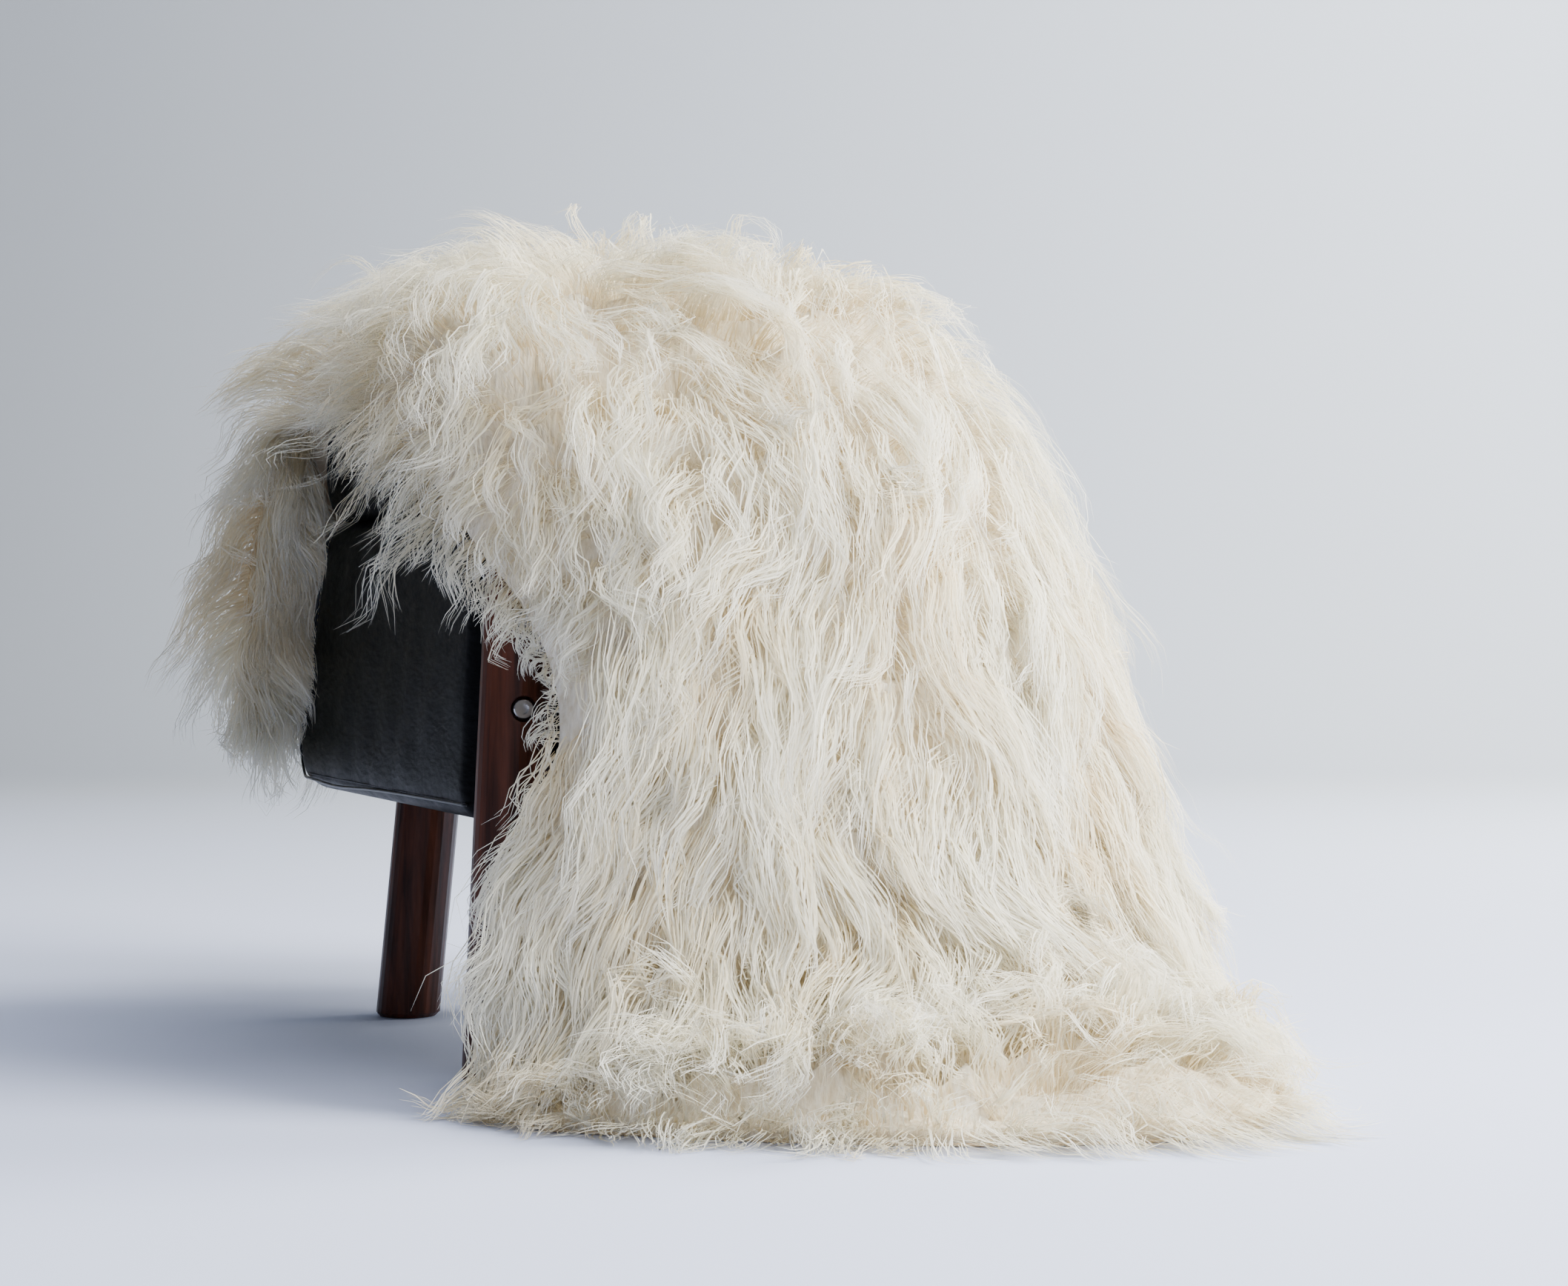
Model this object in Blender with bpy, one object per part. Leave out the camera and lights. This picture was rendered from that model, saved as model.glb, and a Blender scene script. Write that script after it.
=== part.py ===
"""An icelandic sheepskin draped over a low leather seat. Metres, +Z up, the photographed side toward -Y.

The places below are in the photograph's frame: X to the right, Y away from the camera, Z up from the floor,
with the near left post at Y = 0. At the end the whole part moves so that its origin is bottom centre.
"""

import math

import bmesh
import bpy
import numpy as np
from mathutils import Vector, noise

# Seat, from its near left corner: depth runs away from the camera, width to the right
SEAT_CORNER = (-0.193, 0.018)
SEAT_TURN = math.radians(21.5)
SEAT_DEPTH = 0.444
SEAT_WIDTH = 0.27
SEAT_SIZE = np.array([SEAT_DEPTH, SEAT_WIDTH])
BODY_BOTTOM = 0.165
SEAT_TOP = 0.465

# Outlines of the seat body and of the cushion, from the bottom up: how far each level stands out past the
# seat's rectangle on the left and right, and on the near and far faces
BODY_LEVELS = [
    # height, sides, near, far, corner
    (0.165, 0.000, -0.010, 0.026, 0.018),
    (0.169, 0.008, -0.004, 0.034, 0.022),
    (0.178, 0.012, 0.000, 0.038, 0.024),
    (0.250, 0.009, 0.000, 0.022, 0.022),
    (0.330, 0.003, 0.000, 0.004, 0.022),
    (0.358, -0.002, -0.001, -0.004, 0.022),
    (0.3685, -0.012, -0.012, -0.014, 0.018),
]
CUSHION_LEVELS = [
    # height, sides, near, far, corner
    (0.369, -0.012, -0.012, -0.014, 0.020),
    (0.380, -0.001, -0.002, -0.002, 0.030),
    (0.405, 0.003, 0.002, 0.003, 0.035),
    (0.438, 0.001, 0.000, 0.001, 0.036),
    (0.454, -0.006, -0.006, -0.006, 0.036),
    (0.4625, -0.014, -0.014, -0.014, 0.036),
    (0.4665, -0.028, -0.028, -0.028, 0.036),
]

# Legs of round wood
LEG_RADIUS = 0.02375
POST_TOP = 0.352
POST_INSET = 0.013
POST_SPLAY = 0.05
FAR_LEG_DEPTH = 0.341
FAR_LEG_INSET = 0.040
FAR_LEG_SPLAY = 0.10
FOOT_CHAMFER = 0.003
TOP_ROUND = 0.007
TOP_STEPS = 3
FIT_GAP = 0.0003
LEG_SIDES = 28

# Socket-cap bolts in their counterbores
BOLT_HEIGHTS = {"lower": 0.2395, "upper": 0.297}
BOLT_HEAD = 0.0065
BOLT_LENGTH = 0.008
BOLT_EDGE = 0.0006
BOLT_SIDES = 18
BOLT_TURN = 0.07
SOCKET = 0.003
SOCKET_DEPTH = 0.004
COUNTERBORE = 0.0085
COUNTERBORE_DEPTH = 0.0095
COUNTERBORE_OVERRUN = 0.002
BORE_SIDES = 20

# The hide in sections from the far hem, over the seat, to the train's hem on the floor. Each section has the
# wool's height, and six places of the skin side from the hide's left edge to its right edge.
SECTIONS = [
    # section, wool height, left edge, left, mid left, mid right, right, right edge
    ("far hem", .050, (-.402, .430, .212), (-.330, .490, .238), (-.262, .533, .250),
     (-.183, .553, .252), (-.118, .588, .248), (-.060, .606, .240)),
    ("flap", .062, (-.403, .4285, .345), (-.325, .4755, .345), (-.248, .511, .345),
     (-.168, .540, .342), (-.097, .568, .325), (-.036, .580, .270)),
    ("far edge", .086, (-.367, .406, .447), (-.285, .455, .466), (-.192, .492, .4655),
     (-.115, .516, .450), (-.065, .530, .360), (-.030, .535, .240)),
    ("seat far", .092, (-.319, .296, .450), (-.223, .339, .4655), (-.125, .378, .4655),
     (-.040, .406, .425), (-.010, .4125, .320), (.006, .413, .205)),
    ("seat middle", .084, (-.274, .169, .438), (-.178, .212, .4655), (-.082, .255, .4655),
     (.008, .285, .430), (.0535, .292, .330), (.0805, .292, .215)),
    ("near edge", .068, (-.222, .010, .375), (-.135, .055, .4655), (-.045, .095, .4665),
     (.045, .135, .464), (.105, .195, .375), (.140, .240, .260)),
    ("shoulder", .058, (-.128, -.070, .262), (-.065, -.025, .375), (.020, .015, .418),
     (.100, .075, .405), (.155, .140, .320), (.195, .190, .215)),
    ("fall", .052, (-.150, -.110, .150), (-.055, -.095, .245), (.045, -.055, .285),
     (.130, .010, .275), (.190, .090, .215), (.235, .160, .135)),
    ("low fall", .044, (-.163, -.138, .045), (-.045, -.140, .115), (.075, -.115, .145),
     (.165, -.045, .150), (.225, .045, .120), (.270, .125, .050)),
    ("floor fold", .042, (-.163, -.152, .003), (-.035, -.160, .024), (.085, -.140, .042),
     (.172, -.078, .052), (.230, .005, .036), (.268, .090, .004)),
    ("train", .062, (-.156, -.182, .000), (-.030, -.210, .000), (.108, -.212, .000),
     (.222, -.165, .000), (.272, -.070, .000), (.284, .040, .000)),
    ("train hem", .052, (-.138, -.210, .000), (-.015, -.250, .000), (.125, -.268, .000),
     (.258, -.238, .000), (.298, -.150, .000), (.296, -.040, .000)),
]

# The hide's slab: places along and across, the wool's height and the lumps on it
ALONG = 47
ACROSS = 23
SKIN_GAP = 0.0004
EDGE_CLEARANCE = 0.003
GUARD_EDGE = 0.016
TOP_FAVOUR = 0.004
SETTLE_PASSES = 16
EVEN_PASSES = 6
RIM_HEIGHT = 0.032
RIM_STEPS = 2
LUMP_FADE = 5
LUMP_HEIGHT = 0.012
LUMP_SIZE = 0.055
NORMAL_PASSES = 30

# Rim locks on their backing strips: side of the hide, then the length and the sinking of each strip's locks.
# The left side runs from the floor up, past the waist where the locks are short.
STRIPS = [
    ("far", [(.064, 1.5), (.066, 1.5)]),
    ("right", [(.050, 1.5), (.085, 1.5), (.085, 1.5), (.080, 1.5), (.055, 1.5)]),
    ("train", [(.055, 1.5), (.060, 1.5)]),
    ("left", [(.055, 1.5), (.040, 1.2), (.060, 1.5), (.080, 1.5), (.060, 0.5)]),
]
CORNER_CLEAR = 2
STRIP_GAP = 0.00095
STRIP_THICK = 0.005
STRIP_LOW, STRIP_HIGH = 0.12, 0.46
LOCK_PLACE = (0.16, 0.84)
LOCK_SPREAD = (0.8, 1.2)
LOCK_LIFT = 0.15
SINK_FROM = 0.02
SINK_OVER = 0.12
FAN_PASSES = 10
LOCK_TIP = 0.12
LOCK_STEPS = 3
LOCK_CLEARANCE = 0.003
SEED = 7


def seat_turn():
    """The seat's depth and width directions as the rows of a matrix."""
    sine, cosine = math.sin(SEAT_TURN), math.cos(SEAT_TURN)
    return np.array([[-sine, cosine], [cosine, sine]])


def to_seat(places):
    """Places as depth and width on the seat, and height."""
    return np.concatenate([(places[..., :2] - SEAT_CORNER) @ seat_turn().T, places[..., 2:]], axis=-1)


def seat_point(depth, across, height):
    """A place on the seat in the photograph's frame."""
    x, y = np.array([depth, across]) @ seat_turn() + SEAT_CORNER
    return Vector((x, y, height))


def material(name, colour, roughness, metallic=0.0):
    made = bpy.data.materials.new(name)
    made.use_nodes = True
    shader = made.node_tree.nodes["Principled BSDF"]
    shader.inputs["Base Color"].default_value = (*colour, 1.0)
    shader.inputs["Roughness"].default_value = roughness
    shader.inputs["Metallic"].default_value = metallic
    made.diffuse_color = (*colour, 1.0)
    return made


def add_object(name, points, faces, finish, smooth=True):
    """A mesh object from points and faces, with its normals turned outward."""
    mesh = bpy.data.meshes.new(name)
    mesh.from_pydata([tuple(p) for p in points], [], faces)
    work = bmesh.new()
    work.from_mesh(mesh)
    bmesh.ops.recalc_face_normals(work, faces=work.faces)
    work.to_mesh(mesh)
    work.free()
    mesh.materials.append(finish)
    if smooth:
        mesh.shade_smooth()
        mesh.set_sharp_from_angle(angle=math.radians(40))
    made = bpy.data.objects.new(name, mesh)
    bpy.context.collection.objects.link(made)
    return made


def loft(rings):
    """Points and faces of a closed solid through rings of equal count, from the bottom up."""
    count = len(rings[0])
    points = [p for ring in rings for p in ring]
    faces = [list(range(count))[::-1]]
    for level in range(len(rings) - 1):
        low, high = level * count, (level + 1) * count
        for i in range(count):
            j = (i + 1) % count
            faces.append([low + i, low + j, high + j, high + i])
    faces.append([(len(rings) - 1) * count + i for i in range(count)])
    return points, faces


def rounded_outline(height, sides, near, far, corner, steps=6):
    """The seat's rectangle grown by the given amounts, with round corners, as places at one height."""
    low_d, high_d = -near, SEAT_DEPTH + far
    low_w, high_w = -sides, SEAT_WIDTH + sides
    centres = [
        (high_d - corner, high_w - corner),
        (low_d + corner, high_w - corner),
        (low_d + corner, low_w + corner),
        (high_d - corner, low_w + corner),
    ]
    ring = []
    for quarter, (depth, across) in enumerate(centres):
        for step in range(steps + 1):
            angle = math.radians(90 * (quarter + step / steps))
            ring.append(seat_point(depth + corner * math.cos(angle), across + corner * math.sin(angle), height))
    return ring


def add_seat():
    """The leather body and the cushion on it, each a stack of rounded rectangles."""
    leather = material("leather", (0.022, 0.022, 0.025), 0.42)
    for name, levels in (("seat_body", BODY_LEVELS), ("cushion", CUSHION_LEVELS)):
        rings = [rounded_outline(*level) for level in levels]
        add_object(name, *loft(rings), leather)


def level_circle(centre, radius, height):
    turns = [2 * math.pi * i / LEG_SIDES for i in range(LEG_SIDES)]
    return [Vector((centre[0] + radius * math.cos(a), centre[1] + radius * math.sin(a), height)) for a in turns]


def add_leg(name, foot, lean, top, finish, round_top):
    """A round leg: its centre at the floor, its lean per metre of height, and the height of its top."""
    levels = [(0.0, LEG_RADIUS - FOOT_CHAMFER), (FOOT_CHAMFER, LEG_RADIUS)]
    steps = TOP_STEPS if round_top else 0
    for step in range(steps):
        angle = math.pi / 2 * step / steps
        levels.append((top - TOP_ROUND * (1 - math.sin(angle)), LEG_RADIUS - TOP_ROUND * (1 - math.cos(angle))))
    levels.append((top, LEG_RADIUS - (TOP_ROUND if round_top else 0)))
    rings = []
    for height, radius in levels:
        centre = (foot[0] + lean[0] * height, foot[1] + lean[1] * height)
        rings.append(level_circle(centre, radius, height))
    return add_object(name, *loft(rings), finish)


def post_axis(side):
    """A near post's centre at the floor and its lean; the right one mirrors the left one across the seat."""
    across = POST_INSET if side == "left" else SEAT_WIDTH - POST_INSET
    out = -1 if side == "left" else 1
    top = seat_point(-(LEG_RADIUS + SKIN_GAP), across, BOLT_HEIGHTS["lower"])
    away = seat_point(0, 1, 0) - seat_point(0, 0, 0)
    lean = (-out * POST_SPLAY * away.x, -out * POST_SPLAY * away.y)
    foot = (top.x - lean[0] * top.z, top.y - lean[1] * top.z)
    return foot, lean


def cut_away(target, name, points, faces):
    """Cuts a closed form out of the target. The form stays in the file as a hidden cutter."""
    cutter = add_object(name, points, faces, target.data.materials[0], smooth=False)
    cut = target.modifiers.new(name, "BOOLEAN")
    cut.operation = "DIFFERENCE"
    cut.solver = "EXACT"
    cut.object = cutter
    cutter.hide_render = True
    cutter.display_type = "WIRE"


def facing_ring(centre, facing, radius, sides):
    """A ring of points about an axis that runs level, in the direction facing."""
    across = facing.cross(Vector((0, 0, 1))).normalized()
    up = across.cross(facing)
    turns = [2 * math.pi * i / sides for i in range(sides)]
    return [centre + radius * (math.cos(a) * across + math.sin(a) * up) for a in turns]


def add_bolts(post, side, foot, lean, steel):
    """Two counterbores in a near post, each with a socket-cap bolt whose head is just inside it."""
    out = -1 if side == "left" else 1
    facing = (seat_point(-1, out * BOLT_TURN, 0) - seat_point(0, 0, 0)).normalized()
    for place, height in BOLT_HEIGHTS.items():
        axis = Vector((foot[0] + lean[0] * height, foot[1] + lean[1] * height, height))
        mouth = axis + facing * (LEG_RADIUS + COUNTERBORE_OVERRUN)
        floor = axis + facing * (LEG_RADIUS - COUNTERBORE_DEPTH)
        rings = [facing_ring(centre, facing, COUNTERBORE, BORE_SIDES) for centre in (floor, mouth)]
        cut_away(post, f"counterbore_{side}_{place}", *loft(rings))
        seat = floor + facing * FIT_GAP
        crown = seat + facing * BOLT_LENGTH
        hexagon = SOCKET / math.cos(math.pi / 6)
        profile = [
            (seat, BOLT_HEAD),
            (crown - facing * BOLT_EDGE, BOLT_HEAD),
            (crown, BOLT_HEAD - BOLT_EDGE),
            (crown, hexagon),
            (crown - facing * SOCKET_DEPTH, hexagon),
        ]
        rings = [facing_ring(centre, facing, radius, BOLT_SIDES) for centre, radius in profile]
        add_object(f"bolt_{side}_{place}", *loft(rings), steel)


def add_legs():
    wood = material("wood", (0.075, 0.022, 0.012), 0.42)
    steel = material("steel", (0.62, 0.62, 0.60), 0.28, 1.0)
    for side in ("left", "right"):
        foot, lean = post_axis(side)
        post = add_leg(f"post_near_{side}", foot, lean, POST_TOP, wood, True)
        add_bolts(post, side, foot, lean, steel)
    for side in ("left", "right"):
        across = FAR_LEG_INSET if side == "left" else SEAT_WIDTH - FAR_LEG_INSET
        out = -1 if side == "left" else 1
        foot = seat_point(FAR_LEG_DEPTH, across, 0)
        away = seat_point(0, out, 0) - seat_point(0, 0, 0)
        lean = (-FAR_LEG_SPLAY * away.x, -FAR_LEG_SPLAY * away.y)
        add_leg(f"leg_far_{side}", (foot.x, foot.y), lean, BODY_BOTTOM - FIT_GAP, wood, False)


def spline(values, places):
    """A Catmull-Rom curve through rows of values, read at the given places from 0 to 1."""
    values = np.asarray(values, float)
    padded = np.concatenate([2 * values[:1] - values[1:2], values, 2 * values[-1:] - values[-2:-1]])
    spans = len(values) - 1
    at = np.clip(np.asarray(places) * spans, 0, spans - 1e-9)
    span = at.astype(int)
    t = (at - span).reshape(-1, *[1] * (values.ndim - 1))
    a, b, c, d = (padded[span + k] for k in range(4))
    return 0.5 * (2 * b + (c - a) * t + (2 * a - 5 * b + 4 * c - d) * t ** 2 + (3 * b - 3 * c + d - a) * t ** 3)


def hide_surface(along, across):
    """The skin side as a grid of places, from the table of sections, kept off the seat and the posts."""
    table = np.array([row[2:] for row in SECTIONS])
    lengthwise = spline(table, np.linspace(0, 1, along))
    grid = np.swapaxes(spline(np.swapaxes(lengthwise, 0, 1), np.linspace(0, 1, across)), 0, 1)
    grid = settle(grid)
    grid[..., 2] = np.maximum(grid[..., 2], 0.0)
    return grid


def settle(grid):
    """Evens the grid out a little, and moves it until its faces clear the seat and the posts too."""
    for turn in range(SETTLE_PASSES):
        even = grid.copy()
        if turn < EVEN_PASSES:
            even[1:-1] += 0.25 * (grid[:-2] + grid[2:] - 2 * grid[1:-1])
            even[:, 1:-1] += 0.25 * (grid[:, :-2] + grid[:, 2:] - 2 * grid[:, 1:-1])
        grid = push_out(even, EDGE_CLEARANCE, SKIN_GAP)
        pairs = [
            (grid[:-1], grid[1:]),
            (grid[:, :-1], grid[:, 1:]),
            (grid[:-1, :-1], grid[1:, 1:]),
            (grid[:-1, 1:], grid[1:, :-1]),
        ]
        for one, two in pairs:
            middle = (one + two) / 2
            moved = push_out(middle, EDGE_CLEARANCE, SKIN_GAP) - middle
            one += moved
            two += moved
    return grid


def push_out(places, clear_side, clear_top):
    """Moves places that are too near the seat or a near post out to their clearance."""
    middle = np.array([*SEAT_SIZE / 2, SEAT_TOP / 2])
    half = middle + np.array([clear_side, clear_side, clear_top])
    offset = to_seat(places) - middle
    offset[..., 2] = np.maximum(offset[..., 2], 0.0)
    core = half - GUARD_EDGE
    nearest = np.clip(offset, -core, core)
    away = offset - nearest
    distance = np.linalg.norm(away, axis=-1, keepdims=True)
    rounded = nearest + away / np.maximum(distance, 1e-9) * GUARD_EDGE
    spare = half - np.abs(offset) - np.array([0.0, 0.0, TOP_FAVOUR])
    face = np.eye(3, dtype=bool)[np.argmin(spare, axis=-1)]
    flat = np.where(face, np.where(offset < 0, -half, half), offset)
    inside = (np.abs(offset) < core).all(axis=-1, keepdims=True)
    out = np.where(inside, flat, np.where(distance < GUARD_EDGE, rounded, offset)) + middle
    height = np.where(offset[..., 2:] > 0, out[..., 2:], places[..., 2:])
    moved = np.concatenate([out[..., :2] @ seat_turn() + SEAT_CORNER, height], axis=-1)
    for side in ("left", "right"):
        foot, lean = post_axis(side)
        centre = np.array(foot) + moved[..., 2:] * np.array(lean)
        reach = moved[..., :2] - centre
        distance = np.linalg.norm(reach, axis=-1, keepdims=True)
        least = LEG_RADIUS + clear_side
        close = (distance < least) & (moved[..., 2:] < POST_TOP + clear_side)
        moved[..., :2] = np.where(close, centre + reach / np.maximum(distance, 1e-9) * least, moved[..., :2])
    return moved


def smooth_normals(grid, passes):
    """Unit directions from the skin side into the wool, evened out so that inner folds don't cross."""
    lengthwise = np.gradient(grid, axis=0)
    crosswise = np.gradient(grid, axis=1)
    normals = np.cross(lengthwise, crosswise)
    normals /= np.linalg.norm(normals, axis=-1, keepdims=True)
    for _ in range(passes):
        padded = np.pad(normals, ((1, 1), (1, 1), (0, 0)), mode="edge")
        beside = padded[:-2, 1:-1] + padded[2:, 1:-1] + padded[1:-1, :-2] + padded[1:-1, 2:]
        normals = beside + 4 * normals
        normals /= np.linalg.norm(normals, axis=-1, keepdims=True)
    return normals


def rim_path(along, across):
    """The grid's rim as index pairs, side by side: far hem, right edge, train hem, left edge."""
    far = [(0, j) for j in range(across)]
    right = [(i, across - 1) for i in range(along)]
    train = [(along - 1, j) for j in range(across)][::-1]
    left = [(i, 0) for i in range(along)][::-1]
    return {"far": far, "right": right, "train": train, "left": left}


def wool_height(full, i, j, place):
    """The slab's height at one place: full inside, low at the rim, with lumps that fade toward the rim."""
    edge = min(i, j, ALONG - 1 - i, ACROSS - 1 - j)
    share = min(edge / RIM_STEPS, 1.0)
    lump = LUMP_HEIGHT * noise.noise(Vector(place) / LUMP_SIZE) * min(edge / LUMP_FADE, 1.0)
    return RIM_HEIGHT + (full - RIM_HEIGHT) * math.sin(share * math.pi / 2) + lump


def add_fleece(grid, normals):
    """The hide as one lumpy slab. Returns its upper side as a grid, which the rim locks stand beside."""
    top = grid.copy()
    heights = spline([row[1] for row in SECTIONS], np.linspace(0, 1, ALONG))
    for i in range(ALONG):
        for j in range(ACROSS):
            top[i, j] += normals[i, j] * wool_height(heights[i], i, j, grid[i, j])
    index = np.arange(ALONG * ACROSS).reshape(ALONG, ACROSS)
    upper = index + index.size
    faces = []
    for i in range(ALONG - 1):
        for j in range(ACROSS - 1):
            corners = [(i, j), (i + 1, j), (i + 1, j + 1), (i, j + 1)]
            faces.append([index[c] for c in corners])
            faces.append([upper[c] for c in corners[::-1]])
    for side in rim_path(ALONG, ACROSS).values():
        for one, two in zip(side[:-1], side[1:]):
            faces.append([index[one], index[two], upper[two]])
            faces.append([index[one], upper[two], upper[one]])
    points = np.concatenate([grid.reshape(-1, 3), top.reshape(-1, 3)])
    wool = material("wool", (0.85, 0.80, 0.70), 0.85)
    add_object("fleece", points, [[int(v) for v in face] for face in faces], wool)
    return top


def lock_course(start, first, length, sinking, half):
    """A lock's centre line: it leaves in its first direction and sinks, clear of seat, posts and floor."""
    places = [start]
    step = length / LOCK_STEPS
    free = min(max((start[2] - SINK_FROM) / SINK_OVER, 0.0), 1.0)
    for k in range(1, LOCK_STEPS + 1):
        sink = free * sinking * (k - 0.5) / LOCK_STEPS
        direction = first * max(1 - 0.75 * sink, 0.1) + np.array([0, 0, -1.0]) * sink
        onward = places[-1] + direction / np.linalg.norm(direction) * step
        lowest = half * lock_share(k)
        onward = push_out(onward[None], LOCK_CLEARANCE + lowest, LOCK_CLEARANCE + lowest)[0]
        if onward[2] < lowest:
            level = np.array([first[0], first[1], 0.0])
            drop = places[-1][2] - lowest
            onward = places[-1] + level / np.linalg.norm(level) * math.sqrt(max(step ** 2 - drop ** 2, 0.0))
            onward[2] = lowest
        places.append(onward)
    return places


def lock_share(k):
    """How much of its root's size a lock keeps at one step."""
    return 1 - (1 - LOCK_TIP) * (k / LOCK_STEPS) ** 0.9


def add_lock(points, faces, root, out, reach, lean):
    """Grows a tapering lock from the four root points of a strip's outer face, and closes its tip."""
    corners = np.array([points[v] for v in root])
    centre = corners.mean(axis=0)
    half = np.ptp(corners[:, 2]) / 2
    course = lock_course(centre, lean, *reach, half)
    ring = root
    for k in range(1, LOCK_STEPS + 1):
        onward = course[min(k + 1, LOCK_STEPS)] - course[k - 1]
        turn = Vector(out).rotation_difference(Vector(onward)).to_matrix()
        shape = [np.array(turn @ Vector((c - centre) * lock_share(k))) + course[k] for c in corners]
        new_ring = list(range(len(points), len(points) + 4))
        for place in shape:
            place[2] = max(place[2], 0.0)
            points.append(place)
        for side in range(4):
            after = (side + 1) % 4
            faces.append([ring[side], ring[after], new_ring[after], new_ring[side]])
        ring = new_ring
    faces.append(ring)


def add_strip(name, rim, span, locks, rng, finish):
    """One backing strip along a span of the rim's stations, with a lock grown out of it in each stretch."""
    low, high, outward = rim
    fans = even_out(outward, FAN_PASSES)
    start, end = span
    stations = []
    for k in range(start, end):
        stations += [(k + LOCK_PLACE[0], True), (k + LOCK_PLACE[1], False)]
        if k < end - 1:
            stations.append((k + 1, False))
    points, faces = [], []
    for place, _ in stations:
        bottom, upper, out = (read_between(rows, place) for rows in rim)
        near = bottom + (upper - bottom) * STRIP_LOW + out * STRIP_GAP
        far = bottom + (upper - bottom) * STRIP_HIGH + out * STRIP_GAP
        points += [near, near + out * STRIP_THICK, far + out * STRIP_THICK, far]
    faces.append([0, 1, 2, 3])
    faces.append([len(points) - 4 + v for v in (3, 2, 1, 0)])
    for ring, (place, holds_lock) in enumerate(stations[:-1]):
        one, two = 4 * ring, 4 * ring + 4
        for a in range(4):
            b = (a + 1) % 4
            if a == 1 and holds_lock:
                middle = (place + stations[ring + 1][0]) / 2
                out = read_between(outward, middle)
                rise = read_between(high, middle) - read_between(low, middle)
                lean = read_between(fans, middle) + rise / np.linalg.norm(rise) * LOCK_LIFT
                root = [one + a, two + a, two + b, one + b]
                reach = (locks[0] * rng.uniform(*LOCK_SPREAD), locks[1])
                add_lock(points, faces, root, out, reach, lean / np.linalg.norm(lean))
            else:
                faces.append([one + a, two + a, two + b, one + b])
    add_object(name, points, faces, finish)


def even_out(directions, passes):
    """Unit directions along a line, each evened out with its neighbours."""
    for _ in range(passes):
        padded = np.pad(directions, ((1, 1), (0, 0)), mode="edge")
        directions = padded[:-2] + padded[2:] + 2 * directions
        directions /= np.linalg.norm(directions, axis=1, keepdims=True)
    return directions


def read_between(rows, place):
    """A row between two stations of the rim."""
    at = min(int(place), len(rows) - 2)
    return rows[at] + (rows[at + 1] - rows[at]) * (place - at)


def add_rim(grid, top, finish):
    """Backing strips along the slab's rim, with the locks that hang past the hide's edge fused into them."""
    rng = np.random.default_rng(SEED)
    paths = rim_path(ALONG, ACROSS)
    inward = {"far": (1, 0), "train": (-1, 0), "left": (0, 1), "right": (0, -1)}
    for side, strips in STRIPS:
        path = paths[side]
        low = np.array([grid[p] for p in path])
        high = np.array([top[p] for p in path])
        step = inward[side]
        inside = np.array([grid[p[0] + step[0], p[1] + step[1]] for p in path])
        outward = np.cross(np.gradient(low + high, axis=0), high - low)
        outward *= np.sign((outward * (low - inside)).sum(axis=1, keepdims=True))
        outward /= np.linalg.norm(outward, axis=1, keepdims=True)
        ends = [round(k * (len(path) - 1) / len(strips)) for k in range(len(strips) + 1)]
        ends[0] += CORNER_CLEAR
        ends[-1] -= CORNER_CLEAR
        for number, locks in enumerate(strips):
            span = ends[number:number + 2]
            add_strip(f"locks_{side}_{number + 1}", (low, high, outward), span, locks, rng, finish)


def centre_on_floor():
    """Moves the whole part so that its origin is the bottom centre of its box."""
    bpy.context.view_layer.update()
    depsgraph = bpy.context.evaluated_depsgraph_get()
    corners = []
    for made in bpy.context.scene.objects:
        if not made.hide_render:
            mesh = made.evaluated_get(depsgraph).to_mesh()
            corners += [made.matrix_world @ v.co for v in mesh.vertices]
    low = [min(c[k] for c in corners) for k in range(3)]
    high = [max(c[k] for c in corners) for k in range(3)]
    shift = Vector((-(low[0] + high[0]) / 2, -(low[1] + high[1]) / 2, -low[2]))
    for made in bpy.context.scene.objects:
        made.location += shift


def main():
    for old in list(bpy.data.objects):
        bpy.data.objects.remove(old)
    add_seat()
    add_legs()
    grid = hide_surface(ALONG, ACROSS)
    top = add_fleece(grid, smooth_normals(grid, NORMAL_PASSES))
    add_rim(grid, top, bpy.data.materials["wool"])
    centre_on_floor()


main()
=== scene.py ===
"""The looks of an icelandic sheepskin draped over a low leather seat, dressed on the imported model.

The tables and the functions that shape the hide's skin side repeat those of the solids, in the photograph's
frame: X to the right, Y away from the camera, Z up, with the near left post at Y = 0. Everything is then
moved by the shift that the near left post's node gives.
"""

import math

import bmesh
import bpy
import numpy as np
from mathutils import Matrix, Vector
from mathutils.bvhtree import BVHTree


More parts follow.
